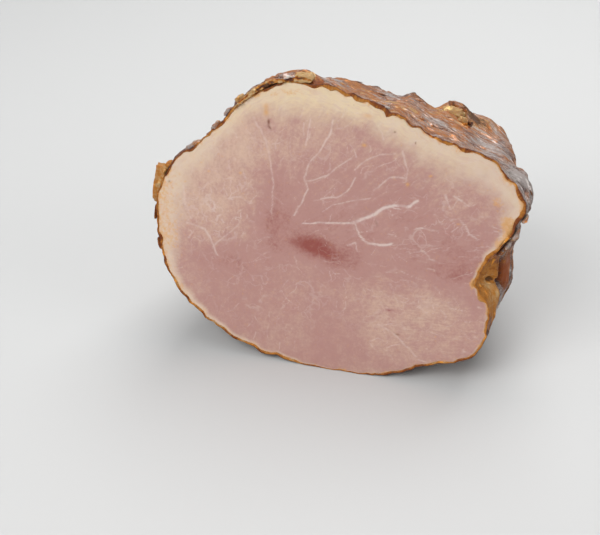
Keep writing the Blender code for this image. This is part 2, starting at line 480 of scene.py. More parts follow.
class Recipe:
    """Adds nodes to one node tree and joins them."""

    def __init__(self, tree: bpy.types.NodeTree) -> None:
        """Keeps the tree that the nodes go into."""
        self.tree = tree

    def put(self, sockets: Sockets, values: dict[str | int, object]) -> None:
        """Joins sockets to their values, or sets the values on them, and leaves out those that are None.

        Args:
            sockets: The inputs of one node.
            values: What each gets, by its name or number.
        """
        for key, value in values.items():
            if isinstance(value, Socket):
                self.tree.links.new(value, sockets[key])
            elif value is not None:
                sockets[key].default_value = value

    def node(self, kind: str, inputs: dict[str | int, object], **settings: object) -> bpy.types.Node:
        """Adds one node.

        Args:
            kind: The node's type name.
            inputs: Sockets, by name or number, and what they get.
            **settings: The node's own settings.

        Returns:
            The new node.
        """
        new = self.tree.nodes.new(kind)
        for name, value in settings.items():
            setattr(new, name, value)
        self.put(new.inputs, inputs)
        return new

    def calc(self, operation: str, *terms: object) -> Socket:
        """Adds a Math node and gives its result."""
        return self.node("ShaderNodeMath", dict(enumerate(terms)), operation=operation).outputs[0]

    def times(self, first: object, second: object) -> Socket:
        """Multiplies two numbers."""
        return self.calc("MULTIPLY", first, second)

    def plus(self, first: object, second: object) -> Socket:
        """Adds two numbers."""
        return self.calc("ADD", first, second)

    def times_plus(self, first: object, second: object, third: object) -> Socket:
        """Multiplies the first two numbers and adds the third."""
        return self.calc("MULTIPLY_ADD", first, second, third)

    def larger(self, first: object, second: object) -> Socket:
        """Gives the larger of two numbers."""
        return self.calc("MAXIMUM", first, second)

    def between(
        self, value: object, start: object, end: object, low: float = 0.0, high: float = 1.0
    ) -> Socket:
        """Turns start to end into low to high, smoothly and no further."""
        inputs = {"Value": value, "From Min": start, "From Max": end, "To Min": low, "To Max": high}
        return self.node("ShaderNodeMapRange", inputs, interpolation_type="SMOOTHSTEP").outputs["Result"]

    def layered(self, colour: object, *layers: tuple[object, object]) -> Socket:
        """Lays more colours over one.

        Args:
            colour: The lowest colour.
            *layers: How far each next colour covers what is below it, and the colour.

        Returns:
            The mixed colour.
        """
        for share, over in layers:
            new = self.node("ShaderNodeMix", {}, data_type="RGBA")
            places = {socket.identifier: number for number, socket in enumerate(new.inputs)}
            values = {"Factor_Float": share, "A_Color": colour, "B_Color": over}
            self.put(new.inputs, {places[name]: value for name, value in values.items()})
            colour = next(socket for socket in new.outputs if socket.identifier == "Result_Color")
        return colour

    def noise(
        self, vector: object, scale: object, detail: float = 3.0, roughness: float = 0.55,
        distortion: float = 0.0
    ) -> Socket:
        """Adds a Noise Texture.

        Args:
            vector: The coordinates.
            scale: How fine it is, in patches a metre.
            detail: How many finer layers it has.
            roughness: How strong they are.
            distortion: How far it is warped.

        Returns:
            Its factor.
        """
        inputs = {
            "Vector": vector, "Scale": scale, "Detail": detail, "Roughness": roughness,
            "Distortion": distortion
        }
        return self.node("ShaderNodeTexNoise", inputs).outputs["Fac"]

    def stretched(self, vector: object, scale: Triple, turn: Triple = (0, 0, 0)) -> Socket:
        """Turns and scales a pattern's coordinates."""
        return self.node("ShaderNodeMapping", {"Vector": vector, "Scale": scale, "Rotation": turn}).outputs[0]

    def wandering(
        self, vector: object, shift: float, scale: float, detail: float, roughness: float = 0.5
    ) -> Socket:
        """Shifts a pattern's coordinates by noise, so that its straight lines wander.

        Args:
            vector: The coordinates.
            shift: How far they shift, in metres.
            scale: The noise's scale.
            detail: The noise's detail.
            roughness: The noise's roughness.

        Returns:
            The shifted coordinates.
        """
        inputs = {"Vector": vector, "Scale": scale, "Detail": detail, "Roughness": roughness}
        wavy = self.node("ShaderNodeTexNoise", inputs).outputs["Color"]
        bent = self.node("ShaderNodeVectorMath", {0: wavy, 1: (shift, shift, shift)}, operation="MULTIPLY")
        return self.node("ShaderNodeVectorMath", {0: vector, 1: bent.outputs[0]}, operation="ADD").outputs[0]

    def painted(self, name: str, kind: str = "Fac") -> Socket:
        """Reads a number, or a Vector, stored on the mesh."""
        return self.node("ShaderNodeAttribute", {}, attribute_name=name).outputs[kind]

    def swings(self, base: object, *patterns: tuple[object, float]) -> Socket:
        """Adds 0 to 1 patterns to a base, each centred so that it swings by half its amount both ways.

        Args:
            base: The number to start from.
            *patterns: Each pattern, and the whole amount of its swing.

        Returns:
            The sum.
        """
        for pattern, amount in patterns:
            base = self.times_plus(self.calc("SUBTRACT", pattern, 0.5), amount, base)
        return base

    def mask(self, tree: bpy.types.NodeTree, vector: object, **values: float) -> Socket:
        """Places one of the shared effects with its own values and gives its Mask."""
        return self.node("ShaderNodeGroup", {"Vector": vector, **values}, node_tree=tree).outputs["Mask"]

    def bump(self, height: object, strength: float, distance: float) -> Socket:
        """Turns a height into a normal."""
        inputs = {"Height": height, "Strength": strength, "Distance": distance}
        return self.node("ShaderNodeBump", inputs).outputs["Normal"]


def start_material(name: str) -> tuple[bpy.types.Material, Sockets, Recipe]:
    """Starts a material.

    Args:
        name: The material's name.

    Returns:
        The material, its shader's inputs, and the recipe for its nodes.
    """
    material = bpy.data.materials.new(name)
    material.use_nodes = True
    return material, material.node_tree.nodes["Principled BSDF"].inputs, Recipe(material.node_tree)


def start_group(
    name: str, inputs: dict[str, float], outputs: tuple[str, ...]
) -> tuple[Recipe, dict[str, Socket], Sockets]:
    """Starts a shader node group that reads a pattern's coordinates.

    Args:
        name: The group's name.
        inputs: Its number inputs and their values; it has the input Vector as well.
        outputs: Its number outputs.

    Returns:
        The recipe for its inside, what it is given by name, and the sockets that its results go to.
    """
    tree = bpy.data.node_groups.new(name, "ShaderNodeTree")
    tree.interface.new_socket(name="Vector", in_out="INPUT", socket_type="NodeSocketVector")
    for key, value in inputs.items():
        socket = tree.interface.new_socket(name=key, in_out="INPUT", socket_type="NodeSocketFloat")
        socket.default_value = value
    for key in outputs:
        tree.interface.new_socket(name=key, in_out="OUTPUT", socket_type="NodeSocketFloat")
    source = tree.nodes.new("NodeGroupInput")
    given = {key: source.outputs[key] for key in ("Vector", *inputs)}
    return Recipe(tree), given, tree.nodes.new("NodeGroupOutput").inputs


class Effects:
    """The shared effects, each a node group that is built once."""

    def __init__(self) -> None:
        """Builds every group."""
        self.mottle = self.build_mottle()
        self.fibres = self.build_fibres()
        self.flecks = self.build_flecks()
        self.threads = self.build_threads()
        self.crust = self.build_crust()

    def build_mottle(self) -> bpy.types.NodeTree:
        """Makes soft cloudy patches.

        Returns:
            The group, whose Mask goes from 0 to 1.
        """
        recipe, given, results = start_group("mottle", {"Scale": 60.0, "Low": 0.38, "High": 0.62}, ("Mask",))
        cloud = recipe.noise(given["Vector"], given["Scale"], 4.0, 0.55, 0.4)
        recipe.put(results, {"Mask": recipe.between(cloud, given["Low"], given["High"])})
        return recipe.tree

    def build_fibres(self) -> bpy.types.NodeTree:
        """Makes fine strands along the pattern's x.

        Returns:
            The group, whose Mask is 1 on the strands.
        """
        recipe, given, results = start_group("fibres", {"Scale": 900.0}, ("Mask",))
        place = recipe.wandering(given["Vector"], 0.004, 70.0, 2.0)
        strands = recipe.noise(recipe.stretched(place, (0.10, 1.0, 1.0)), given["Scale"], 3.0, 0.6)
        recipe.put(results, {"Mask": recipe.between(strands, 0.40, 0.66)})
        return recipe.tree

    def build_flecks(self) -> bpy.types.NodeTree:
        """Makes scattered round specks.

        Returns:
            The group, whose Mask is 1 in the few cells that have a speck.
        """
        recipe, given, results = start_group(
            "flecks", {"Scale": 120.0, "Size": 0.16, "Share": 0.1}, ("Mask",)
        )
        cells = recipe.node(
            "ShaderNodeTexVoronoi", {"Vector": given["Vector"], "Scale": given["Scale"]}
        ).outputs
        near = recipe.calc("SUBTRACT", 1.0, recipe.calc("DIVIDE", cells["Distance"], given["Size"]))
        dice = recipe.node("ShaderNodeSeparateColor", {0: cells["Color"]}).outputs[0]
        chosen = recipe.calc("LESS_THAN", dice, given["Share"])
        recipe.put(results, {"Mask": recipe.times(recipe.between(near, 0.0, 0.6), chosen)})
        return recipe.tree

    def build_threads(self) -> bpy.types.NodeTree:
        """Makes thin wandering threads that fade in and out, such as marbling.

        Returns:
            The group, whose Mask is 1 on the threads.
        """
        recipe, given, results = start_group(
            "threads", {"Scale": 90.0, "Width": 0.05, "Keep": 0.5}, ("Mask",)
        )
        place = recipe.wandering(given["Vector"], 0.008, 130.0, 4.0, 0.6)
        folded = recipe.noise(place, given["Scale"], 1.5, 0.45)
        away = recipe.calc("ABSOLUTE", recipe.calc("SUBTRACT", folded, 0.5))
        line = recipe.calc("SUBTRACT", 1.0, recipe.calc("DIVIDE", away, given["Width"]))
        kept = recipe.calc("SUBTRACT", recipe.noise(given["Vector"], 75.0, 2.0), given["Keep"])
        mask = recipe.times(recipe.between(line, 0.0, 0.9), recipe.between(kept, -0.03, 0.08))
        recipe.put(results, {"Mask": mask})
        return recipe.tree

    def build_crust(self) -> bpy.types.NodeTree:
        """Makes dried, shrivelled skin.

        Returns:
            The group, with Height for a bump, Crevice as a mask of the hollows between its ridges and Scab as
            a mask of its high spots.
        """
        recipe, given, results = start_group("crust", {"Scale": 160.0}, ("Height", "Crevice", "RidgeTop"))
        place = recipe.wandering(given["Vector"], 0.014, 60.0, 4.0)
        ridges = recipe.node(
            "ShaderNodeTexNoise", {"Vector": place, "Scale": given["Scale"], "Detail": 5.0, "Roughness": 0.6},
            noise_type="RIDGED_MULTIFRACTAL", normalize=True,
        )
        cells = recipe.node(
            "ShaderNodeTexVoronoi", {"Vector": place, "Scale": recipe.times(given["Scale"], 1.6)},
            feature="SMOOTH_F1"
        )
        fine = recipe.noise(place, recipe.times(given["Scale"], 6.0), 3.0, 0.65)
        height = recipe.times_plus(ridges.outputs["Fac"], 0.55, recipe.times(fine, 0.18))
        height = recipe.times_plus(cells.outputs["Distance"], -0.45, height)
        crevice, ridge_top = recipe.between(height, 0.16, -0.02), recipe.between(height, 0.22, 0.42)
        recipe.put(results, {"Height": height, "Crevice": crevice, "RidgeTop": ridge_top})
        return recipe.tree


@dataclass(frozen=True)
class MeatFinish:
    """Cured meat and fat, moist where it was cut.

    Attributes:
        pale: The palest lean meat.
        pink: Lean meat of middle tone.
        deep: The darkest lean meat.
        cream: The fat border's yellower colour.
        beige: The fat border's greyer colour.
        thread: Marbling.
        golden: Golden specks and the start of a stain.
        tan: The strongest stain.
        brown: Nicks and pores.
        settings: What the shader is set to all over the surface.
    """

    pale: Colour = (0.68, 0.475, 0.365, 1.0)
    pink: Colour = (0.490, 0.268, 0.236, 1.0)
    deep: Colour = (0.315, 0.088, 0.072, 1.0)
    cream: Colour = (0.80, 0.630, 0.410, 1.0)
    beige: Colour = (0.70, 0.530, 0.405, 1.0)
    thread: Colour = (0.76, 0.62, 0.57, 1.0)
    golden: Colour = (0.72, 0.37, 0.12, 1.0)
    tan: Colour = (0.50, 0.235, 0.055, 1.0)
    brown: Colour = (0.20, 0.062, 0.028, 1.0)
    settings: tuple[tuple[str, object], ...] = (
        ("Subsurface Weight", 0.10), ("Subsurface Radius", (1.0, 0.35, 0.2)), ("Subsurface Scale", 0.003),
        ("Specular IOR Level", 0.25),
    )

    def build(self, effects: Effects) -> bpy.types.Material:
        """Makes the material.

        Args:
            effects: The shared node groups.

        Returns:
            The new material.
        """
        material, sockets, recipe = start_material("cut_meat")
        place = recipe.node("ShaderNodeTexCoord", {}).outputs["Object"]
        clouds = recipe.mask(effects.mottle, place, Scale=38.0, Low=0.30, High=0.70)
        curds = recipe.mask(effects.mottle, place, Scale=150.0, Low=0.30, High=0.70)
        grains = recipe.mask(effects.mottle, place, Scale=520.0, Low=0.25, High=0.75)
        upright = recipe.mask(
            effects.fibres, recipe.stretched(place, (1, 1, 1), (0, math.pi / 2, 0)), Scale=330.0
        )
        fanned = recipe.mask(effects.fibres, recipe.painted("fan", "Vector"), Scale=520.0)
        level = recipe.mask(effects.fibres, recipe.stretched(place, (1, 1, 1), (0, 0.12, 0)), Scale=620.0)
        combed, swept, laid = (
            recipe.times(mask, recipe.painted(name))
            for mask, name in ((upright, "upright"), (fanned, "fanned"), (level, "level"))
        )
        strands = recipe.plus(combed, recipe.plus(swept, laid))

        # Lean meat, from pale to deep
        tone = recipe.swings(recipe.painted("tone"), (clouds, 0.12), (curds, 0.09), (grains, 0.12))
        tone = recipe.times_plus(strands, -0.15, recipe.plus(tone, 0.04))
        shades = (recipe.between(tone, 0.0, 0.5), self.pink), (recipe.between(tone, 0.5, 1.0), self.deep)
        lean = recipe.layered(self.pale, *shades)

        # The fat border, and its ragged edge towards the lean meat
        streaked = recipe.noise(recipe.painted("skin", "Vector"), 1.0, 3.0, 0.6)
        fat = recipe.layered(
            self.beige,
            (recipe.painted("yellowing"), self.cream),
            (recipe.between(streaked, 0.45, 0.70, 0.0, 0.60), self.pale),
            (recipe.between(streaked, 0.50, 0.30, 0.0, 0.50), self.beige),
            (recipe.times(curds, 0.22), self.thread),
        )
        coarse, fine = recipe.noise(place, 80.0, 4.0), recipe.noise(place, 300.0)
        edge = recipe.swings(recipe.painted("lean"), (coarse, 0.7), (fine, 0.22), (fanned, -0.08))

        # Marbling: a fine web, and the single veins
        lace = recipe.mask(effects.threads, place, Scale=46.0, Width=0.020, Keep=0.47)
        finer = recipe.mask(effects.threads, place, Scale=105.0, Width=0.034, Keep=0.50)
        web = recipe.times(recipe.larger(lace, recipe.times(finer, 0.8)), recipe.painted("lace"))
        drawn = recipe.painted("vein")
        ragged = recipe.swings(drawn, (recipe.noise(place, 380.0, 4.0, 0.65), 0.9))
        vein = recipe.times(recipe.between(ragged, 0.05, 1.15, 0.0, 0.80), recipe.between(drawn, 0.02, 0.2))
        vein = recipe.times(vein, recipe.between(recipe.noise(place, 140.0), 0.34, 0.54, 0.40, 1.0))

        # Specks, pores and stains over all of it
        specks = recipe.mask(effects.flecks, place, Scale=110.0, Size=0.11, Share=0.05)
        pores = recipe.mask(effects.flecks, place, Scale=260.0, Size=0.13, Share=0.06)
        stain = recipe.swings(recipe.painted("stain"), (recipe.noise(place, 380.0, 5.0, 0.65), 1.5))
        colour = recipe.layered(
            fat,
            (recipe.between(edge, 0.0, 1.0), lean),
            (recipe.larger(recipe.times(web, 0.55), vein), self.thread),
            (recipe.larger(recipe.times(specks, 0.35), recipe.painted("golden")), self.golden),
            (recipe.larger(recipe.times(pores, 0.30), recipe.painted("nick")), self.brown),
            (recipe.between(stain, 0.10, 0.70, 0.0, 0.75), self.golden),
            (recipe.between(stain, 0.60, 1.30, 0.0, 0.90), self.tan),
        )
        wet = recipe.between(
            recipe.mask(effects.mottle, place, Scale=70.0, Low=0.3, High=0.7), 0.0, 1.0, 0.40, 0.58
        )
        height = recipe.times_plus(strands, 0.5, recipe.times(recipe.noise(place, 1300.0), 0.6))
        height = recipe.times_plus(vein, 0.25, recipe.swings(height, (grains, 0.5)))
        normal = recipe.bump(height, strength=0.35, distance=0.0006)
        recipe.put(sockets, {"Base Color": colour, "Roughness": wet, "Normal": normal, **dict(self.settings)})
        return material


class RindLook(Enum):
    """Where a rind-like finish is used: its name, and how far it glows from inside."""

    RIND = ("smoked_rind", 0.0)
    EDGE = ("lifted_rind", 0.12)
    FAT = ("torn_fat", 0.25)


@dataclass(frozen=True)
class RindFinish:
    """Smoked rind with a greasy shine, and the amber fat that shows where it was cut, lifted or torn.

    Attributes:
        look: Where it is used.
        plum: The darker brown of the rind.
        umber: Its middle brown.
        ash_and_sheen: The grey of dry smoke, and the painted sheen and glints of the lit rind.
        rust: Its rusty brown.
        ember: The brightest spots.
        soot_and_shade: Burnt spots, and painted shade in grooves, crevices, hollows and gaps.
        bark_and_shade: The darkest fat, and painted shade in the fat's crevices.
        amber: Deep fat.
        honey: Fat of middle tone.
        straw: The palest fat.
        settings: What the shader is set to all over the surface.
    """

    look: RindLook
    plum: Colour = (0.280, 0.110, 0.070, 1.0)
    umber: Colour = (0.580, 0.260, 0.130, 1.0)
    ash_and_sheen: Colour = (0.92, 0.840, 0.790, 1.0)
    rust: Colour = (0.80, 0.290, 0.075, 1.0)
    ember: Colour = (0.98, 0.580, 0.240, 1.0)
    soot_and_shade: Colour = (0.040, 0.016, 0.012, 1.0)
    bark_and_shade: Colour = (0.16, 0.045, 0.012, 1.0)
    amber: Colour = (0.27, 0.055, 0.002, 1.0)
    honey: Colour = (0.86, 0.350, 0.045, 1.0)
    straw: Colour = (1.00, 0.720, 0.340, 1.0)
    settings: tuple[tuple[str, object], ...] = (
        ("Specular IOR Level", 0.24), ("Coat Roughness", 0.22), ("Subsurface Radius", (1.0, 0.4, 0.1)),
        ("Subsurface Scale", 0.002),
    )

    def build(self, effects: Effects) -> bpy.types.Material:
        """Makes the material.

        Args:
            effects: The shared node groups.

        Returns:
            The new material.
        """
        name, glow = self.look.value
        material, sockets, recipe = start_material(name)
        skin = recipe.painted("skin", "Vector")
        inputs = {"Vector": recipe.stretched(skin, (0.50, 0.50, 1.0)), "Scale": 230.0}
        crust = recipe.node("ShaderNodeGroup", inputs, node_tree=effects.crust).outputs
        streaks = recipe.noise(recipe.stretched(skin, (0.20, 0.20, 1.0)), 480.0, 5.0, 0.70, 0.6)
        bands = recipe.noise(recipe.stretched(skin, (0.40, 0.40, 1.0)), 105.0, 5.0, 0.62, 0.5)
        spots = recipe.noise(recipe.stretched(skin, (0.50, 0.50, 1.0)), 210.0, 5.0, 0.70, 0.5)
        broad = recipe.noise(recipe.stretched(skin, (0.7, 0.7, 1.0)), 40.0)
        grit = recipe.noise(skin, 1150.0, 3.0, 0.7)
        sleek = recipe.painted("sleek")

        # Smoked rind, from near-black to ember, greyed by dry smoke and painted sheen, and darkened by
        # painted shade in its grooves
        warmth = recipe.plus(recipe.swings(recipe.painted("rust"), (broad, 2.4)), 0.10)
        warmth = recipe.swings(warmth, (grit, 1.6), (bands, 3.4), (spots, 4.8))
        # This grey rises with the streaks and grit that also raise the bump, so it is partly dry smoke and
        # partly a painted sheen on the raised wrinkles.
        bloom_and_sheen = recipe.swings(
            recipe.painted("ash_and_sheen"), (broad, -2.2), (grit, 2.2), (bands, -2.6), (streaks, 5.2)
        )
        # Low streaks and crevices, where the bump sinks in, are darkened: painted shade.
        furrow_shade = recipe.larger(
            recipe.between(streaks, 0.43, 0.33, 0.0, 0.70), recipe.times(crust["Crevice"], 0.60)
        )
        rind = recipe.layered(
            self.soot_and_shade,
            (recipe.between(warmth, -1.0, -0.35), self.plum),
            (recipe.between(warmth, -0.45, 0.15), self.umber),
            (recipe.between(warmth, 0.05, 0.70), self.rust),
            (recipe.between(warmth, 0.75, 1.60), self.ember),
            (recipe.between(bloom_and_sheen, -0.30, 0.95, 0.0, 0.85), self.ash_and_sheen),
            (furrow_shade, self.soot_and_shade),
            # The crust's high spots are lightened with grey too: partly wear, partly a painted sheen on the
            # ridge tops.
            (recipe.times(crust["RidgeTop"], 0.30), self.ash_and_sheen),
        )

        # Fat, from darkest brown to straw: mottled where it is rough, glazed where it is sleek, and darkened
        # by painted shade in its crevices
        yellow = recipe.painted("honey")
        mottled = recipe.swings(yellow, (recipe.noise(skin, 300.0, 4.0, 0.65), 1.9))
        glazed = recipe.swings(yellow, (grit, 0.2), (recipe.noise(skin, 110.0, 3.0, 0.5), 1.1))
        richness = recipe.layered(mottled, (sleek, glazed))
        rough_only = recipe.between(sleek, 0.7, 0.2)
        fat = recipe.layered(
            self.amber,
            (recipe.between(richness, 0.0, 0.5), self.honey),
            (recipe.between(richness, 0.50, 1.0), self.straw),
            (recipe.times(recipe.between(richness, 0.05, -0.30), rough_only), self.bark_and_shade),
            # The fat's crevices are darkened: painted shade.
            (recipe.times(recipe.times(crust["Crevice"], rough_only), 0.6), self.bark_and_shade),
        )

        # Fat where it shows, and dark patches with painted shade over both
        fatty = recipe.swings(recipe.painted("amber"), (recipe.noise(skin, 190.0, 5.0, 0.68), 1.7))
        # The dark mask holds darker patches and painted shade in holes, creases and under the fold.
        soot_and_shade_level = recipe.swings(recipe.painted("soot_and_shade"), (recipe.noise(skin, 360.0, 4.0, 0.65), 1.7))
        colour = recipe.layered(
            rind, (recipe.between(fatty, 0.38, 0.58), fat),
            (recipe.between(soot_and_shade_level, 0.35, 0.80, 0.0, 0.76), self.soot_and_shade)
        )
        gloss = recipe.mask(effects.mottle, skin, Scale=60.0, Low=0.35, High=0.65)
        dull = recipe.swings(recipe.between(gloss, 0.0, 1.0, 0.30, 0.52), (streaks, 0.5))
        height = recipe.times_plus(streaks, 0.6, recipe.times(crust["Height"], 0.8))
        height = recipe.times(
            recipe.times_plus(grit, 0.22, height), recipe.between(sleek, 0.0, 1.0, 1.0, 0.12)
        )
        recipe.put(sockets, {
            "Base Color": colour,
            "Roughness": recipe.between(dull, 0.1, 0.75, 0.32, 0.70),
            "Coat Weight": recipe.between(gloss, 0.4, 1.0, 0.0, 0.08),
            "Normal": recipe.bump(height, strength=0.85, distance=0.0020),
            "Subsurface Weight": glow,
            **dict(self.settings),
        })
        return material


# The rind


@dataclass(frozen=True)
class Rind:
    """The rind: a closed shell whose outer skin is rough and whose rim shows around the cut face.

    Attributes:
        form: The ham's form.
        columns: How many steps go around the ham.
        rows: How many steps go from the cut face to the tapered end.
        inner_rows: How many rows the inner skin has.
        wall: The rind's thickness, in metres, away from the rim.
        notch_clock: The clock angle of the notch at the bone's place.
        crown: The clock angle of the paler crown, rustier and greyer partly by its own colour and partly by
            painted light and sheen on the lit top, and how far it spreads to each side.
        crown_ends: The depths where the crown has ended and where it starts to fade.
        darker_off_crown: How much less rusty the rest is, partly its own browner colour and partly less
            painted light.
        less_ash_and_sheen_off_crown: How much less grey and painted sheen the rest has.
        rim_walls_by_clock: Clock angles, and the rind's thickness on the cut face in millimetres.
        rim_thick_spots: Clock angle, half-width and extra thickness of single thick spots.
        stains_by_clock: Clock angles, and how far the rind stains the meat, in millimetres.
        fold_marks: Relief around the notch and along the rim.
        knobs: Small knobs of the crown.
        amber_spots: Where amber fat shows; the first two are the notch's lobe and cheek.
        honey_spots: Where that fat is yellower.
        soot_and_shade_spots: Dark spots: painted shade in the notch's hole and creases, in hollows and under
            the fold's lower edge, and darker patches elsewhere.
        rust_spots: Rusty spots.
        ash_and_sheen_spots: Grey spots: dry smoke grey, and painted sheen where the lit rind shines, as along
            the notch's cheek.
    """

    form: HamForm
    columns: int = 560
    rows: int = 150
    inner_rows: int = 14
    wall: float = 0.0055
    notch_clock: float = 348.0
    crown: tuple[float, float] = (62.0, 64.0)
    crown_ends: tuple[float, float] = (0.130, 0.085)
    darker_off_crown: float = 0.52
    less_ash_and_sheen_off_crown: float = 0.34
    rim_walls_by_clock: Pairs = (
        (0, 1.5), (8, 1.3), (15, 1.9), (24, 1.5), (32, 1.1), (38, 1.4), (42, 2.2), (47, 1.5), (56, 1.0),
        (66, 1.1), (72, 1.7),
        (80, 1.9), (95, 2.6), (104, 1.8), (112, 0.9), (124, 1.5), (133, 1.5), (145, 1.0), (160, 0.9),
        (175, 0.8), (188, 1.2),
        (205, 1.3), (230, 1.2), (270, 1.2), (300, 1.1), (330, 1.0), (343, 1.2), (352, 1.3),
    )
    rim_thick_spots: tuple[Triple, ...] = (
        (70.0, 0.0022, 0.0026), (15.0, 0.003, 0.0018), (1.0, 0.004, 0.0022), (345.0, 0.0018, 0.0030),
    )
    stains_by_clock: Pairs = (
        (0, 1.4), (8, 1.8), (16, 2.4), (24, 2.2), (33, 1.1), (41, 1.8), (50, 0.9), (60, 0.8), (71, 1.4),
        (90, 1.0), (110, 0.8),
        (124, 1.6), (140, 1.2), (160, 0.7), (185, 0.9), (205, 1.5), (240, 1.0), (290, 1.2), (325, 1.3),
        (338, 0.9), (346, 1.6),
    )
    fold_marks: tuple[Crag, ...] = (
        Crag(349.0, 0.0170, 0.020, 0.0095, 0.0088), Crag(350.5, 0.0120, 0.0030, 0.0030, -0.0050),
        Crag(346.5, 0.0255, 0.0016, 0.0013, -0.0022), Crag(349.0, 0.0290, 0.022, 0.0019, -0.0034),
        Crag(350.0, 0.0370, 0.020, 0.0055, 0.0020), Crag(348.0, 0.0465, 0.022, 0.0030, -0.0024),
        Crag(117.0, 0.0045, 0.006, 0.0035, -0.0030), Crag(9.0, 0.0090, 0.004, 0.0050, 0.0016),
        Crag(4.0, 0.0140, 0.004, 0.0050, -0.0022), Crag(70.0, 0.0005, 0.0022, 0.0030, -0.0016),
    )
    knobs: tuple[Crag, ...] = (
        Crag(72.5, 0.083, 0.0050, 0.0045, 0.0014), Crag(66.5, 0.086, 0.0045, 0.0050, 0.0012),
        Crag(55.0, 0.074, 0.0055, 0.0040, 0.0026),
        Crag(84.0, 0.060, 0.0040, 0.0040, 0.0024), Crag(40.0, 0.083, 0.0060, 0.0060, 0.0026),
        Crag(104.0, 0.010, 0.0045, 0.0040, 0.0018),
        Crag(45.0, 0.060, 0.0060, 0.0030, -0.0030), Crag(30.0, 0.100, 0.0060, 0.0060, 0.0030),
    )
    amber_spots: tuple[Crag, ...] = (
        Crag(347.0, 0.012, 0.025, 0.0130, 1.6), Crag(351.0, 0.0370, 0.0125, 0.0058, 1.9),
        Crag(50.5, 0.062, 0.008, 0.007, 1.0),
        Crag(101.0, 0.004, 0.012, 0.0040, 1.0), Crag(93.0, 0.022, 0.0030, 0.0030, 0.9),
        Crag(2.0, 0.004, 0.008, 0.0030, 0.8),
    )
    honey_spots: tuple[Crag, ...] = (
        Crag(347.0, 0.009, 0.024, 0.012, 0.72), Crag(50.5, 0.062, 0.008, 0.007, 0.6),
        Crag(93.0, 0.022, 0.004, 0.004, 0.7),
    )
    # Many of these darken the notch's hole, creases and hollows, and the place under the fold's lower edge,
    # as painted shade; the rest are darker patches.
    soot_and_shade_spots: tuple[Crag, ...] = (
        Crag(349.0, 0.0290, 0.024, 0.0024, 0.85), Crag(350.5, 0.0120, 0.0028, 0.0030, 1.1),
        Crag(344.0, 0.0150, 0.0040, 0.0012, 0.5), Crag(117.0, 0.0035, 0.008, 0.0040, 1.0),
        Crag(348.0, 0.0465, 0.022, 0.0030, 0.4), Crag(47.0, 0.060, 0.0045, 0.0040, 0.5),
        Crag(15.0, 0.003, 0.004, 0.0030, 0.4),
        Crag(45.5, 0.073, 0.013, 0.0085, 0.95), Crag(32.0, 0.100, 0.018, 0.0120, 0.80),
        Crag(70.0, 0.081, 0.013, 0.0080, 0.85),
        Crag(84.0, 0.062, 0.020, 0.0050, 0.65), Crag(22.0, 0.034, 0.016, 0.0040, 0.55),
        Crag(3.0, 0.014, 0.010, 0.0060, 0.55),
    )
    rust_spots: tuple[Crag, ...] = (
        Crag(68.0, 0.020, 0.028, 0.011, 0.55), Crag(90.0, 0.014, 0.030, 0.009, 0.45),
        Crag(43.0, 0.064, 0.020, 0.015, 0.95),
        Crag(60.0, 0.044, 0.020, 0.010, 0.35), Crag(33.0, 0.085, 0.022, 0.016, 0.60),
        Crag(338.0, 0.050, 0.040, 0.022, 0.35), Crag(150.0, 0.050, 0.050, 0.020, 0.25),
        Crag(200.0, 0.110, 0.050, 0.030, 0.30), Crag(290.0, 0.060, 0.060, 0.030, 0.25),
        Crag(325.0, 0.080, 0.040, 0.030, 0.30),
    )
    # Those beside the notch's cheek are a painted sheen along its rim; the rest mix dry smoke grey with
    # painted sheen on the lit rind.
    ash_and_sheen_spots: tuple[Crag, ...] = (
        Crag(38.0, 0.026, 0.022, 0.018, 0.40), Crag(100.0, 0.030, 0.020, 0.010, 0.35),
        Crag(55.0, 0.026, 0.016, 0.008, 0.25),
        Crag(18.0, 0.020, 0.020, 0.014, 0.35), Crag(345.0, 0.050, 0.024, 0.006, 0.45),
        Crag(341.0, 0.034, 0.012, 0.008, 0.5),
        Crag(352.0, 0.0310, 0.012, 0.0016, 0.5), Crag(80.0, 0.080, 0.020, 0.014, 0.30),
    )

    def angles(self) -> Array:
        """Spreads the columns around the ham, closer together at the bone's fold.

        Returns:
            The clock angle of each column, with the first one repeated at the end.
        """
        edge = self.form.outline(4000)
        angle = np.unwrap(np.arctan2(edge[:, 1], edge[:, 0]))
        density = 1 + 1.2 * self.near_clock(angle, 349.0, 20.0)
        steps = np.concatenate(((0.0,), np.cumsum(density)))
        angle = np.append(angle, angle[0] + TURN)
        return np.interp(np.linspace(0.0, steps[-1], self.columns + 1), steps, angle)

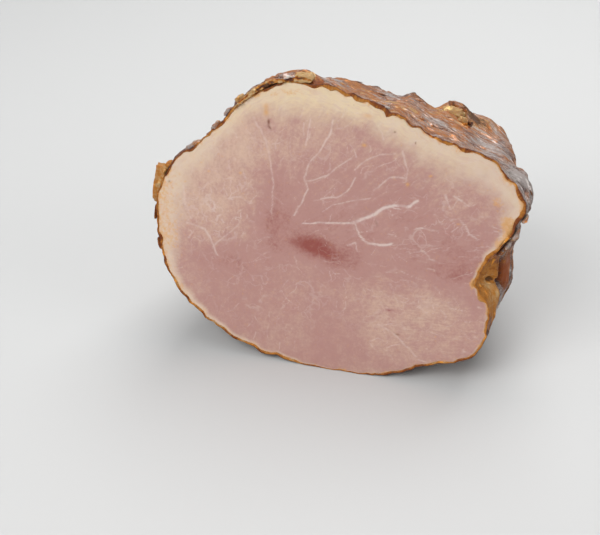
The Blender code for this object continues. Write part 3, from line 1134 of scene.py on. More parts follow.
    def outer_skin(self) -> tuple[Array, Array, dict[str, Array]]:
        """Works out the outer skin.

        Returns:
            Its places from the rim to the tapered end, its normals, and its masks, in the ham's own frame.
        """
        step = np.linspace(0.0, 1.0, self.rows)
        share, depth, way = self.form.profile(0.46 * step + 0.54 * step**2)
        angle, share = np.meshgrid(self.angles(), share)
        depth, way = (np.repeat(values[:, None], angle.shape[1], axis=1) for values in (depth, way))
        radius = self.form.plain_radius(angle, share, depth)
        plain = self.form.plain_points(angle, share, depth)
        around = np.roll(plain[:, :-1], -1, axis=1) - np.roll(plain[:, :-1], 1, axis=1)
        around = np.concatenate((around, around[:, :1]), axis=1)
        normal = np.cross(around, np.gradient(plain, axis=0))
        normal[-1] = (0.0, 1.0, 0.0)
        normal /= np.maximum(np.linalg.norm(normal, axis=-1, keepdims=True), 1e-12)
        outwards = np.sign(np.sum(normal * (plain - np.array(self.form.heart)), axis=-1, keepdims=True))
        normal *= np.where(outwards == 0, 1, outwards)
        flat = normal[0] * (1.0, 0.0, 1.0)
        normal[0] = flat / np.linalg.norm(flat, axis=-1, keepdims=True)
        girth = 0.11 * share**0.6
        skin = np.stack((girth * np.cos(angle), girth * np.sin(angle), way), axis=-1)
        masks = self.masks(angle, depth, radius)
        height = self.form.rise(plain, angle, depth, radius)
        height += self.fine_relief(skin, depth, radius) * (1 - 0.85 * masks["sleek"])
        height += sum(
            mark.height * mark.mask(angle, depth, radius) for mark in (*self.fold_marks, *self.knobs)
        )
        return plain + normal * height[..., None], normal, {**masks, "skin": skin}

    def fine_relief(self, skin: Array, depth: Array, radius: Array) -> Array:
        """Adds wrinkles that run around the ham, creases, crumbs and the ragged rim.

        Args:
            skin: Places on the unrolled skin.
            depth: Depths behind the cut face.
            radius: Distances from the ham's axis.

        Returns:
            How far each place stands out.
        """
        wrinkles = 0.80 * MM * noise_at(skin, (0.030, 0.030, 0.0050), 1.0, 2)
        creases = -1.0 * MM * np.exp(-((noise_at(skin, (0.034, 0.034, 0.010), 2.0) / 0.07) ** 2))
        crumbs = 1.2 * MM * smooth_step(noise_at(skin, (0.0060, 0.0060, 0.0045), 3.0), 0.20, 0.6)
        gravel = 0.45 * MM * noise_at(skin, (0.0042, 0.0042, 0.0030), 17.0, 2)
        total = (wrinkles + creases + crumbs + gravel) * (0.25 + 0.75 * smooth_step(depth, 0.0, 0.005))
        ragged = 1.5 * MM * noise_at(skin, 0.0085, 14.0) + 1.1 * MM * noise_at(skin, 0.0038, 15.0)
        return (total + ragged * np.exp(-((depth / 0.004) ** 2))) * smooth_step(radius, 0.0, 0.020)

    def near_clock(self, angle: Array, clock: float, spread: float) -> Array:
        """Is 1 around a clock angle and falls to 0 past its spread, both in degrees."""
        return np.exp(-((wrapped(angle - math.radians(clock)) / math.radians(spread)) ** 4))

    def masks(self, angle: Array, depth: Array, radius: Array) -> dict[str, Array]:
        """Works out the skin's masks of amber, honey, darkening with painted shade, rust, grey with painted
        sheen, and sleekness.

        Args:
            angle: Clock angles in radians.
            depth: Depths behind the cut face.
            radius: Distances from the ham's axis.

        Returns:
            The masks by name.
        """
        kinds = {
            "amber": self.amber_spots, "honey": self.honey_spots, "soot_and_shade": self.soot_and_shade_spots,
            "rust": self.rust_spots, "ash_and_sheen": self.ash_and_sheen_spots,
        }
        found = {
            name: sum(spot.height * spot.mask(angle, depth, radius) for spot in spots)
            for name, spots in kinds.items()
        }
        edge = smooth_step(depth, 0.0022, 0.0002) * (1 - self.near_clock(angle, self.notch_clock, 14.0))
        found["amber"] = np.clip(found["amber"] + 0.45 * edge, 0, 1)
        found["honey"] = np.clip(found["honey"], 0, 1)
        # The crown stays rustier and greyer than the rest: partly its own colour, partly painted light and
        # sheen on the lit top.
        off_crown = 1 - self.near_clock(angle, *self.crown) * smooth_step(depth, *self.crown_ends)
        found["rust"] = found["rust"] - self.darker_off_crown * off_crown
        found["ash_and_sheen"] = found["ash_and_sheen"] - self.less_ash_and_sheen_off_crown * off_crown
        found["soot_and_shade"] = np.clip(found["soot_and_shade"] + 0.45 * edge, 0, 1)
        lobe, cheek = (spot.mask(angle, depth, radius) for spot in self.amber_spots[:2])
        found["sleek"] = np.clip(1.1 * cheek + 0.30 * lobe, 0, 1)
        return found

    def rim_walls(self, angle: Array, rim: Array) -> Array:
        """Works out the rind's thickness where it was cut.

        Args:
            angle: The clock angle of each column.
            rim: The rim's place at each column.

        Returns:
            The thickness at each column, in metres.
        """
        clocks, sizes = np.array(self.rim_walls_by_clock).T
        wall = MM * np.interp(np.degrees(angle) % 360, clocks, sizes, period=360)
        wall *= 1.25 * (1 + 0.8 * noise_at(rim, 0.009, 4.0) + 0.55 * noise_at(rim, 0.0045, 5.0))
        reach = np.linalg.norm(rim, axis=-1)
        for clock, half, extra in self.rim_thick_spots:
            wall += extra * np.exp(-((wrapped(angle - math.radians(clock)) * reach / half) ** 2))
        return np.maximum(wall, 0.45 * MM)

    def rim_inward(self, rim: Array) -> Array:
        """Works out the direction in the cut face from the rim to the meat.

        Args:
            rim: The rim's place at each column, the first one repeated.

        Returns:
            The direction at each column.
        """
        ring = rim[:-1]
        along = np.roll(ring, -4, axis=0) - np.roll(ring, 4, axis=0)
        inward = np.stack((-along[:, 2], np.zeros(len(ring)), along[:, 0]), axis=-1)
        inward /= np.linalg.norm(inward, axis=-1, keepdims=True)
        inward *= -np.sign(np.sum(inward * ring, axis=-1, keepdims=True))
        return np.vstack((inward, inward[:1]))

    def build(self, material: bpy.types.Material) -> tuple[bpy.types.Object, Array, Array]:
        """Builds the rind.

        Args:
            material: Its finish.

        Returns:
            The piece, the rim's places and the rind's thickness there.
        """
        outer, normal, masks = self.outer_skin()
        angle = self.angles()
        rim = outer[0].copy()
        walls = self.rim_walls(angle, rim)
        inward = self.rim_inward(rim)
        proud = 0.30 * MM + 0.30 * MM * noise_at(rim, 0.006, 6.0)
        lip = []
        insets = (0.03, 0.22, 0.5, 0.78, 0.97, 1.0)
        for inset, out in zip(insets, (0.35, 0.85, 1.0, 0.85, 0.3, -2.2)):
            step = rim + inward * (walls * inset)[:, None]
            step[:, 1] = -proud * out
            lip.append(step)
        picks = np.linspace(4, self.rows - 1, self.inner_rows).astype(int)
        inset = 1.5 * MM + (self.wall - 1.5 * MM) * smooth_step(outer[picks, :, 1], 0.002, 0.015)
        inner = outer[picks] - normal[picks] * inset[..., None]
        outer[0, :, 1] = 0.25 * MM
        grid = np.concatenate((outer[::-1], np.array(lip), inner))
        mesh, order = grid_mesh("ham_rind", self.form.to_part(grid))
        golden = smooth_step(noise_at(rim, 0.013, 16.0), -0.30, 0.40)
        notch = self.near_clock(angle, self.notch_clock, 15.0)
        golden = np.maximum(golden, notch)
        lip_values = {
            "amber": [np.full(len(angle), value) for value in (0.8, 1.0, 1.2, 1.2, 1.2, 1.2)],
            "honey": [level + 0.45 * golden for level in (-0.20, -0.05, 0.08, 0.18, 0.25, 0.28)],
            "soot_and_shade": [level * (1 - notch) for level in (0.75, 0.40, 0.10, 0.0, 0.0, 0.0)],
        }
        stored = {}
        for name, values in masks.items():
            on_lip = np.array(lip_values.get(name, [values[0]] * len(lip)))
            rest = np.repeat(on_lip[-1:], len(inner), axis=0)
            stacked = np.concatenate((values[::-1], on_lip, rest))
            stored[name] = stacked.reshape((-1, *stacked.shape[2:]))[order]
        paint(mesh, stored)
        piece = finish_piece(mesh, material, stands_for_ham=True)
        return piece, rim, walls


@dataclass(frozen=True)
class RindFold:
    """The strip of rind that lifted off the crown and folded over: an amber front under a smoked top.

    Attributes:
        form: The ham's form.
        path: Across, up and half-height of the strip along its run, in millimetres.
        columns: How many steps go around the strip.
        rows: How many steps go along it.
        middle_depth: How far behind the cut face its middle is.
        half_depth: Its half-depth.
    """

    form: HamForm
    path: tuple[Triple, ...] = (
        (-74, 83.5, 0.6), (-69, 89.4, 1.3), (-63, 95.0, 2.0), (-57, 99.8, 2.5), (-51, 103.8, 2.6),
        (-45, 106.6, 2.8),
        (-38, 108.8, 2.8), (-31, 110.2, 3.0), (-25, 110.8, 3.6), (-21, 110.4, 3.2), (-18.5, 108.8, 0.8),
    )
    columns: int = 64
    rows: int = 150
    middle_depth: float = 0.0042
    half_depth: float = 0.0058

    def build(self, material: bpy.types.Material) -> bpy.types.Object:
        """Builds the fold.

        Args:
            material: Its finish.

        Returns:
            The piece.
        """
        knots = np.array(self.path)
        places = np.linspace(0, len(knots) - 1, self.rows)
        across, up, half = (
            np.interp(places, np.arange(len(knots)), knots[:, axis]) * MM for axis in range(3)
        )
        across, up = (
            np.convolve(np.pad(values, 8, "edge"), np.ones(17) / 17, "valid") for values in (across, up)
        )
        half = half * smooth_step(places, 0.0, 0.4) * smooth_step(places, len(knots) - 1, len(knots) - 1.3)
        out = np.stack((-np.gradient(up), np.gradient(across)), axis=-1)
        out /= np.linalg.norm(out, axis=-1, keepdims=True)
        out *= np.sign(out[:, 1:])
        turn = np.linspace(0.0, TURN, self.columns + 1)
        rise, reach = np.sin(turn), -np.cos(turn)
        rise = np.sign(rise) * np.abs(rise) ** 0.7
        length = self.half_depth * smooth_step(half, 0.0, 0.0010)
        middle = self.middle_depth + 0.8 * MM * noise_at(np.stack((across, up, up), axis=-1), 0.012, 21.0)
        grid = np.stack((
            across[:, None] + out[:, :1] * half[:, None] * rise,
            middle[:, None] + length[:, None] * reach,
            up[:, None] + out[:, 1:] * half[:, None] * rise,
        ), axis=-1)
        run = np.cumsum(np.hypot(np.gradient(across), np.gradient(up)))[:, None] + 0 * turn
        around = np.stack(
            (run, 3.2 * MM * np.cos(turn) + 0 * run, 3.2 * MM * np.sin(turn) + 0 * run), axis=-1
        )
        layers = noise_at(around, (0.0090, 0.0017, 0.0017), 25.0, 2)
        crinkles = noise_at(grid, 0.0028, 26.0, 2)
        crags = 0.9 * MM * noise_at(
            grid, (0.007, 0.004, 0.004), 22.0, 3
        ) + 1.0 * MM * layers + 0.6 * MM * crinkles
        push = np.stack((out[:, :1] * rise, np.broadcast_to(reach, crags.shape), out[:, 1:] * rise), axis=-1)
        grid = grid + push * (crags * smooth_step(half, 0.0, 0.0012)[:, None])[..., None]
        mesh, order = grid_mesh("ham_rind_fold", self.form.to_part(grid))
        front = np.clip(0.50 - 0.9 * rise - 0.75 * reach + 0.7 * noise_at(grid, 0.006, 24.0), 0, 1)
        end = smooth_step(across, -0.033, -0.026)[:, None]
        # Painted shadow under the fold's lower edge.
        gap_shadow = np.exp(-(((across + 0.0515) / 0.0055) ** 2))[:, None]
        # The honey share rises and the dark share falls with the layers and crinkles that push the skin out,
        # so raised crinkles are painted paler and sunk ones darker: painted highlight and painted shade over
        # the fat's own mottling.
        masks = {
            "amber": np.clip(front + 0.9 * end, 0, 1),
            "honey": np.clip(0.50 + 1.1 * layers + 0.9 * crinkles + 0.5 * end, -0.6, 1.3),
            "soot_and_shade": np.clip(
                0.9 * gap_shadow * (rise < 0.2) + 1.3 * smooth_step(-layers, 0.16, 0.40) * (1 - 0.6 * end), 0, 1
            ),
            "rust": np.full_like(crags, -0.05), "ash_and_sheen": np.full_like(crags, 0.0),
            "sleek": np.zeros_like(crags),
            "skin": grid[..., (0, 2, 1)],
        }
        paint(mesh, {name: values.reshape((-1, *values.shape[2:]))[order] for name, values in masks.items()})
        return finish_piece(mesh, material)


@dataclass(frozen=True)
class Scrap:
    """One torn or lifted bit.

    Attributes:
        clock: The clock angle of its middle, in degrees.
        depth: How far behind the cut face its middle is, in millimetres, as the next four are.
        lift: How far its middle stands off the rind.
        around: Its half-length around the ham.
        along: Its half-length along the ham.
        thick: Its half-thickness.
        turn: How far it is turned on the rind, in degrees.
        tilt: How far its side that is nearer the cut face stands up, in degrees.
        paint: Its shares of amber, honey, soot, rust and ash, where soot includes painted shade and ash
            includes painted sheen.
        square: How boxy it is, from 0 to 1.
        heel: How far its clockwise end stands up, in degrees.
    """

    clock: float
    depth: float
    lift: float
    around: float
    along: float
    thick: float
    turn: float = 0.0
    tilt: float = 0.0
    paint: tuple[float, ...] = (0.0, 0.1, 0.1, 0.4, 0.3)
    square: float = 0.3
    heel: float = 0.0


@dataclass(frozen=True)
class Scraps:
    """A handful of scraps that are made as one piece.

    Attributes:
        form: The ham's form, which they sit on.
        name: The piece's name.
        bits: The scraps.
        cuts: How finely each one is cut up.
        breakup: How ragged each one is.
    """

    form: HamForm
    name: str
    bits: tuple[Scrap, ...]
    cuts: int = 7
    breakup: float = 0.9

    def build(self, material: bpy.types.Material) -> bpy.types.Object:
        """Builds the scraps.

        Args:
            material: Their finish.

        Returns:
            The piece that holds them all.
        """
        form = bmesh.new()
        names = ("amber", "honey", "soot_and_shade", "rust", "ash_and_sheen", "sleek")
        layers = [form.verts.layers.float.new(name) for name in names]
        skin = form.verts.layers.float_vector.new("skin")
        for number, bit in enumerate(self.bits):
            before = len(form.verts)
            cube = bmesh.ops.create_cube(form, size=2.0)["verts"]
            edges = list({edge for vert in cube for edge in vert.link_edges})
            bmesh.ops.subdivide_edges(form, edges=edges, cuts=self.cuts, use_grid_fill=True)
            form.verts.ensure_lookup_table()
            verts = form.verts[before:]
            places = self.shape(bit, np.array([vert.co for vert in verts]), number)
            for vert, place, own in zip(verts, self.form.to_part(places).tolist(), places.tolist()):
                vert.co = place
                vert[skin] = (own[0], own[2], own[1])
                for layer, value in zip(layers, (*bit.paint, 0.0)):
                    vert[layer] = value
        bmesh.ops.recalc_face_normals(form, faces=form.faces[:])
        return finish_piece(saved(form, self.name), material)

    def shape(self, bit: Scrap, cube: Array, number: int) -> Array:
        """Rounds a cube's points, breaks them up and puts them on the rind.

        Args:
            bit: The scrap to shape.
            cube: The points of a cube of side 2.
            number: Changes how it is broken up.

        Returns:
            Places in the ham's own frame.
        """
        ball = cube / np.linalg.norm(cube, axis=-1, keepdims=True)
        form = ball * (1.15 - 0.15 * bit.square) * (1 - bit.square) + cube * bit.square
        size = np.array((bit.around, bit.along, bit.thick)) * MM
        rough = self.breakup * MM * min(1.0, bit.thick / 2.0 + 0.25)
        sized = form * size
        broken = np.array([noise.voronoi(place)[0][0] for place in (sized / (2.6 * MM) + number).tolist()])
        sized = sized + ball * rough * (
            noise_at(sized, 0.0042, 31.0 + number, 3) + 1.1 * (0.45 - broken)
        )[:, None]
        turn, tilt = math.radians(bit.turn), math.radians(bit.tilt)
        x = sized[:, 0] * math.cos(turn) - sized[:, 1] * math.sin(turn)
        y = sized[:, 0] * math.sin(turn) + sized[:, 1] * math.cos(turn)
        z = sized[:, 2] - y * math.sin(tilt) - x * math.sin(math.radians(bit.heel))
        place, out, around, along = self.form.spot(bit.clock, bit.depth * MM)
        y, z = y * math.cos(tilt), z + bit.lift * MM
        return place + x[:, None] * around + y[:, None] * along + z[:, None] * out


# The meat


@dataclass(frozen=True)
class Vein:
    """One line of fat in the meat.

    Attributes:
        path: The places that it runs through on the cut face, in millimetres.
        start: Its half-width where it starts, in millimetres.
        end: Its half-width where it ends.
        strength: How pale it is.
    """

    path: Pairs
    start: float = 0.5
    end: float = 0.4
    strength: float = 0.7


@dataclass(frozen=True)
class Patch:
    """One soft spot on the cut face.

    Attributes:
        across: Where its middle is, in millimetres, as the next three are.
        up: How high its middle is.
        half_across: Its half-width.
        half_up: Its half-height.
        amount: How strong it is.
        turn: How far it is turned, in degrees.
    """

    across: float
    up: float
    half_across: float
    half_up: float
    amount: float
    turn: float = 0.0

    def mask(self, places: Array) -> Array:
        """Falls from its amount at the middle to 0 well outside it.

        Args:
            places: Across and up on the cut face, in millimetres.

        Returns:
            The amount at each place.
        """
        shifted = places - (self.across, self.up)
        cos, sin = math.cos(math.radians(self.turn)), math.sin(math.radians(self.turn))
        x = shifted[..., 0] * cos + shifted[..., 1] * sin
        z = shifted[..., 1] * cos - shifted[..., 0] * sin
        return self.amount * np.exp(-((x / self.half_across) ** 2) - (z / self.half_up) ** 2)


@dataclass(frozen=True)
class Meat:
    """The meat core: its finely divided cut face, and a plain closed back inside the rind.

    Attributes:
        form: The ham's form.
        squares: How many squares the cut face has each way.
        back_rows: How many rows lead to its closed back.
        fat_by_clock: Clock angles, and the width of the fat border there in millimetres.
        veins: The drawn lines of fat.
        wisps: Fields of short wisps: across, up, lean and sway of the wisps, and how many.
        tones: Darker and paler spots of the lean meat.
        laces: Where fine marbling shows.
        stains: Golden stains.
        upright: Where the fibres stand upright.
        fanned: Where they fan out from the knot of the muscle.
        level: Where they lie level.
        golden_specks: Small golden specks.
        nicks: Small brown nicks.
    """

    form: HamForm
    squares: int = 296
    back_rows: int = 6
    fat_by_clock: Pairs = (
        (0, 2), (10, 6), (20, 15), (30, 20), (45, 16), (60, 14), (80, 14), (95, 18), (110, 19), (125, 13),
        (140, 9), (155, 12), (170, 15), (180, 15), (190, 11), (200, 6), (220, 3), (250, 2), (290, 1.6),
        (335, 1.3), (350, 1.5),
    )
    veins: tuple[Vein, ...] = (
        Vein(((-21, 8), (-10, 10), (-1, 11), (16, 13)), 0.5, 0.9, 0.8),
        Vein(((16, 13), (24, 18), (31, 22), (36, 27), (43, 30), (53, 30), (59, 35)), 1.3, 1.0, 1.0),
        Vein(((17, 12), (21, 4), (27, 0), (35, -1), (44, 2)), 0.7, 0.8, 0.9),
        Vein(
            ((-3, 84), (-5, 74), (-10, 64), (-17, 53), (-21, 42), (-18, 34), (-22, 22), (-27, 13)), 0.8, 0.7,
            0.62
        ),
        Vein(((-20, 39), (-12, 42), (-5, 45), (3, 53), (11, 59)), 0.8, 0.6, 0.58),
        Vein(((-19, 83), (-20, 73), (-21, 65)), 0.7, 0.5, 0.6),
        Vein(((-8, 28), (3, 30), (10, 36), (15, 46)), 0.7, 0.6, 0.65),
        Vein(((28, 38), (34, 45), (39, 49), (48, 50)), 0.8, 0.7, 0.52),
        Vein(((14, 52), (22, 60), (30, 64), (41, 66)), 0.8, 0.6, 0.45),
        Vein(((-7, 18), (0, 24), (8, 27), (26, 33)), 0.7, 0.6, 0.5),
        Vein(((-59, 80), (-53, 72), (-50, 66), (-47, 57), (-43, 38), (-43, 12)), 1.0, 0.6, 0.45),
        Vein(((-106, -3), (-97, -4), (-92, -6), (-86, -17), (-82, -25)), 0.9, 0.9, 0.55),
        Vein(((-67, 1), (-75, -7), (-86, -19)), 0.7, 0.8, 0.5),
        Vein(((-109, 25), (-107, 11), (-103, 1)), 0.9, 0.7, 0.5),
        Vein(((-119, 28), (-120, 13), (-115, 0)), 0.9, 0.7, 0.4),
        Vein(((46, 68), (50, 56), (50, 48)), 0.8, 0.6, 0.55),
        Vein(((77, 42), (81, 32)), 0.8, 0.5, 0.6),
        Vein(((83, 41), (94, 36)), 0.7, 0.6, 0.65),
        Vein(((89, 26), (96, 16), (102, 13)), 0.7, 0.6, 0.6),
        Vein(((59, 15), (69, 16), (75, 15)), 0.8, 0.6, 0.6),
        Vein(((40, -61), (53, -68), (69, -82)), 0.7, 0.6, 0.55),
        Vein(((13, -4), (18, -1), (20, -7)), 0.7, 0.7, 0.6),
        Vein(((64, 0), (71, -5)), 0.8, 0.5, 0.5),
        Vein(((-75, 20), (-66, 22), (-58, 18)), 0.8, 0.8, 0.5),
    )
    wisps: tuple[tuple[tuple[float, float], tuple[float, float], float, float, int], ...] = (
        ((40.0, 112.0), (-26.0, 34.0), -0.12, 0.28, 70), ((-118.0, -52.0), (-20.0, 46.0), 1.75, 0.45, 70),
        ((30.0, 108.0), (-86.0, -34.0), -0.30, 0.35, 60), ((-52.0, 60.0), (44.0, 92.0), 1.35, 0.40, 50),
    )
    tones: tuple[Patch, ...] = (
        Patch(20, 18, 62, 48, 0.20), Patch(-40, 14, 8, 36, 0.20), Patch(-13, -9, 14, 6.5, 0.42, -4),
        Patch(-1, -11, 26, 9, 0.26, -6),
        Patch(-80, -28, 26, 12, 0.28), Patch(-92, 44, 38, 44, -0.20), Patch(72, -62, 55, 28, -0.03),
        Patch(60, 48, 30, 14, 0.02, -20),
        Patch(98, 0, 26, 17, 0.27, -15), Patch(-98, -6, 16, 26, -0.08), Patch(0, 66, 50, 18, -0.11),
        Patch(-42, 4, 20, 22, 0.12),
        Patch(80, -14, 26, 9, 0.20), Patch(58, -38, 48, 11, -0.14), Patch(107, -36, 10, 16, 0.14),
        Patch(48, -62, 22, 18, -0.07),
        Patch(95, 42, 16, 10, -0.12), Patch(47, -47, 2.4, 1.0, 0.7), Patch(-20, -60, 60, 30, 0.05),
        Patch(-62, 55, 20, 24, -0.08),
    )
    laces: tuple[Patch, ...] = (
        Patch(-70, 12, 16, 16, 0.8), Patch(86, 34, 26, 20, 0.4), Patch(58, 8, 34, 18, 0.4),
        Patch(-92, 4, 26, 30, 0.6),
        Patch(20, -22, 40, 14, 0.45), Patch(-10, 60, 50, 22, 0.3), Patch(-40, -50, 50, 28, 0.5),
        Patch(60, -50, 40, 20, 0.3),
        Patch(-80, 50, 30, 30, 0.35), Patch(40, 40, 40, 30, 0.3),
    )
    stains: tuple[Patch, ...] = (
        Patch(120, 27, 4, 5, 0.7), Patch(123, 19, 4, 4, 0.9), Patch(117, 12, 4, 4, 0.5),
        Patch(112, 40, 3, 5, 0.5, 20),
        Patch(-36, 100, 14, 2, 0.4, 8), Patch(102, -20, 2.5, 2.5, 0.8), Patch(-112, 52, 6, 3, 0.4, 45),
        Patch(-118, -16, 9, 12, 0.22), Patch(-124, 14, 12, 36, 0.34),
    )
    upright: tuple[Patch, ...] = (
        Patch(-82, 28, 36, 50, 0.45), Patch(-34, 34, 12, 42, 0.4), Patch(-10, -50, 60, 30, 0.2)
    )
    fanned: tuple[Patch, ...] = (Patch(28, 34, 58, 46, 0.65), Patch(90, 20, 30, 30, 0.5))
    level: tuple[Patch, ...] = (Patch(80, -58, 46, 30, 0.55), Patch(30, -20, 60, 20, 0.25))
    golden_specks: tuple[Patch, ...] = (
        Patch(19, 69, 1.6, 1.2, 0.8), Patch(51, 46, 1.1, 1.3, 0.8), Patch(66, 53, 1.1, 0.9, 0.8),
        Patch(-67, 39, 0.9, 0.9, 0.7),
        Patch(-50, 85, 1.6, 2.2, 0.7), Patch(-50, 89, 2.0, 1.8, 0.5), Patch(20, 90, 3.0, 1.6, 0.4),
        Patch(-119, 26, 0.9, 0.8, 0.9),
        Patch(-108, 28, 0.8, 0.7, 0.6), Patch(-90, 38, 0.8, 0.7, 0.6), Patch(-96, 44, 0.7, 0.7, 0.5),
        Patch(88, 22, 1.0, 0.8, 0.6),
    )
    nicks: tuple[Patch, ...] = (
        Patch(-48, 78, 0.8, 2.0, 1.0), Patch(-47, 74.5, 1.6, 0.7, 0.9, -35), Patch(54, 75, 0.5, 0.9, 0.8),
        Patch(39, 81, 0.8, 0.6, 0.7),
        Patch(-120, 27, 0.7, 0.8, 0.7), Patch(54, -67, 1.5, 0.8, 0.7), Patch(-46, 2, 0.6, 1.8, 0.5),
        Patch(32, 15, 0.8, 2.0, 0.4, 20),
    )

    def grid_places(self, rim: Array, walls: Array) -> Array:
        """Spreads a square grid over the cut face.

        Args:
            rim: The rind's rim.
            walls: The rind's thickness there.

        Returns:
            Rows and columns of x and z in metres.
        """
        steps = np.linspace(-1.0, 1.0, self.squares + 1)
        x, z = np.meshgrid(steps, steps)
        disc_x = x * np.sqrt(1 - z**2 / 2)
        disc_z = z * np.sqrt(1 - x**2 / 2)
        angle = np.arctan2(disc_z, disc_x)
        share = np.minimum(np.hypot(disc_x, disc_z), 1.0)
        ring = rim[:-1]
        ring_angle = np.arctan2(ring[:, 2], ring[:, 0])
        order = np.argsort(ring_angle)
        reach = np.hypot(ring[:, 0], ring[:, 2]) - 0.6 * walls[:-1]
        radius = np.interp(angle, ring_angle[order], reach[order], period=TURN)
        return np.stack((share * radius * np.cos(angle), share * radius * np.sin(angle)), axis=-1)

    def twigs(self) -> list[Vein]:
        """Grows short side twigs off the drawn veins, and scatters faint ones between them.

        Returns:
            The twigs.
        """
        dice = random.Random(11)
        grown = []
        for vein in self.veins:
            for _ in range(2):
                index = dice.randrange(len(vein.path) - 1)
                (x0, z0), (x1, z1) = vein.path[index], vein.path[index + 1]
                along = dice.random()
                x, z = x0 + (x1 - x0) * along, z0 + (z1 - z0) * along
                heading = math.atan2(z1 - z0, x1 - x0) + dice.choice((-1, 1)) * dice.uniform(0.5, 1.0)
                length = dice.uniform(4, 10)
                grown.append(self.twig(dice, x, z, heading, length, vein.end * 0.7, 0.0, vein.strength * 0.7))
        for _ in range(260):
            x, z = dice.uniform(-118, 118), dice.uniform(-90, 90)
            heading = math.atan2(z + 5, x + 30) + dice.gauss(0.0, 0.45)
            length, width, strength = dice.uniform(5, 20), dice.uniform(0.3, 0.75), dice.uniform(0.12, 0.5)
            grown.append(self.twig(dice, x, z, heading, length, width, 0.1, strength))
        for (left, right), (low, high), lean, sway, count in self.wisps:
            for _ in range(count):
                x, z = dice.uniform(left, right), dice.uniform(low, high)
                heading, length = dice.gauss(lean, sway), dice.uniform(4, 13)
                width, strength = dice.uniform(0.4, 0.9), dice.uniform(0.2, 0.5)
                grown.append(self.twig(dice, x, z, heading, length, width, 0.2, strength))
        return grown

    def twig(
        self, dice: random.Random, x: float, z: float, heading: float, length: float, start: float,
        end: float, strength: float
    ) -> Vein:
        """Draws one wandering line.

        Args:
            dice: The dice to throw.
            x: Where it starts on the cut face, in millimetres.
            z: How high it starts.
            heading: The way it sets out.
            length: Its length in millimetres.
            start: Its half-width where it starts.
            end: Its half-width where it ends.
            strength: How pale it is.

        Returns:
            The line.
        """
        path = [(x, z)]
        for _ in range(4):
            heading += dice.gauss(0.0, 0.30)
            x += math.cos(heading) * length / 4
            z += math.sin(heading) * length / 4
            path.append((x, z))
        return Vein(tuple(path), start, end, strength)

    def vein_mask(self, places: Array) -> Array:
        """Works out how strongly each place on the face is marbled by the single veins.

        Args:
            places: Places on the cut face, in millimetres.

        Returns:
            The strength at each place.
        """
        flat = places.reshape(-1, 2)
        total = np.zeros(len(flat))
        for vein in (*self.veins, *self.twigs()):
            path = np.array(vein.path, float)
            count = len(path) - 1
            for index in range(count):
                start, end = path[index], path[index + 1]
                low, high = np.minimum(start, end) - 4, np.maximum(start, end) + 4
                near = np.flatnonzero(np.all((flat > low) & (flat < high), axis=1))
                if not len(near):
                    continue
                run = end - start
                along = np.clip(((flat[near] - start) @ run) / (run @ run), 0, 1)
                distance = np.linalg.norm(flat[near] - start - along[:, None] * run, axis=1)
                width = np.maximum(
                    0.85 * (vein.start + (vein.end - vein.start) * (index + along) / count), 0.15
                )
                line = np.exp(-((distance / width) ** 2)) + 0.30 * np.exp(-((distance / (3.0 * width)) ** 2))
                total[near] = np.maximum(total[near], vein.strength * line)
        return total.reshape(places.shape[:-1])

    def masks(self, places: Array, edge_distance: Array, stains_by_clock: Array) -> dict[str, Array]:
        """Works out the paint of the cut face.

        Args:
            places: Grid places in metres.
            edge_distance: How far each is from the rind, in millimetres.
            stains_by_clock: Clock angles, and how far smoke and fat stain the meat there, in millimetres.

        Returns:
            The masks by name.
        """
        solid = np.stack((places[..., 0], np.zeros(places.shape[:-1]), places[..., 1]), axis=-1)
        drift = np.stack((noise_at(solid, 0.007, 7.0), noise_at(solid, 0.007, 8.0)), axis=-1)
        sway = np.stack((noise_at(solid, 0.030, 9.0), noise_at(solid, 0.030, 10.0)), axis=-1)
        spots = places / MM
        bent = spots + 0.9 * drift
        clock = np.degrees(np.arctan2(places[..., 1], places[..., 0])) % 360
        clocks, widths = np.array(self.fat_by_clock, float).T
        fat = np.interp(clock, clocks, widths, period=360) * (1 + 0.25 * sway[..., 0])
        tone = 0.34 + sum(patch.mask(spots + 4 * sway) for patch in self.tones)
        crown = np.exp(-((((clock - 98 + 180) % 360 - 180) / 48) ** 2))
        from_knot = spots - (-62, -40)
        reach, heading = np.hypot(*from_knot.T).T * MM, np.arctan2(from_knot[..., 1], from_knot[..., 0])
        girth = 0.11 * np.stack((np.cos(np.radians(clock)), np.sin(np.radians(clock))), axis=-1) * 75
        skin = np.concatenate((girth, (edge_distance * MM * 420)[..., None]), axis=-1)
        stain_clocks, stain_widths = stains_by_clock.T
        reach_in = np.interp(clock, stain_clocks, stain_widths, period=360) * np.clip(
            1 + 1.2 * drift[..., 0], 0.3, 2.5
        )
        marks = {"upright": self.upright, "fanned": self.fanned, "level": self.level, "lace": self.laces}
        small = {"golden": self.golden_specks, "nick": self.nicks}
        return {
            "lean": smooth_step(edge_distance, 0, 1) * np.clip(
                (edge_distance - 0.35 * fat) / (1.35 * fat), 0, 1
            ),
            "tone": tone,
            "stain": 1.35 * np.exp(-edge_distance / (0.75 * reach_in)) + sum(
                patch.mask(bent) for patch in self.stains
            ),
            "yellowing": np.clip(0.12 + 0.85 * crown + 0.25 * sway[..., 1], 0, 1),
            "vein": self.vein_mask(bent),
            "fan": np.stack((reach, np.zeros_like(reach), heading * 0.07), axis=-1),
            "skin": skin,
            **{
                name: np.clip(sum(patch.mask(spots) for patch in patches), 0, 1) for name,
                patches in marks.items()
            },
            **{
                name: np.clip(sum(patch.mask(bent) for patch in patches), 0, 1) for name,
                patches in small.items()
            },
        }

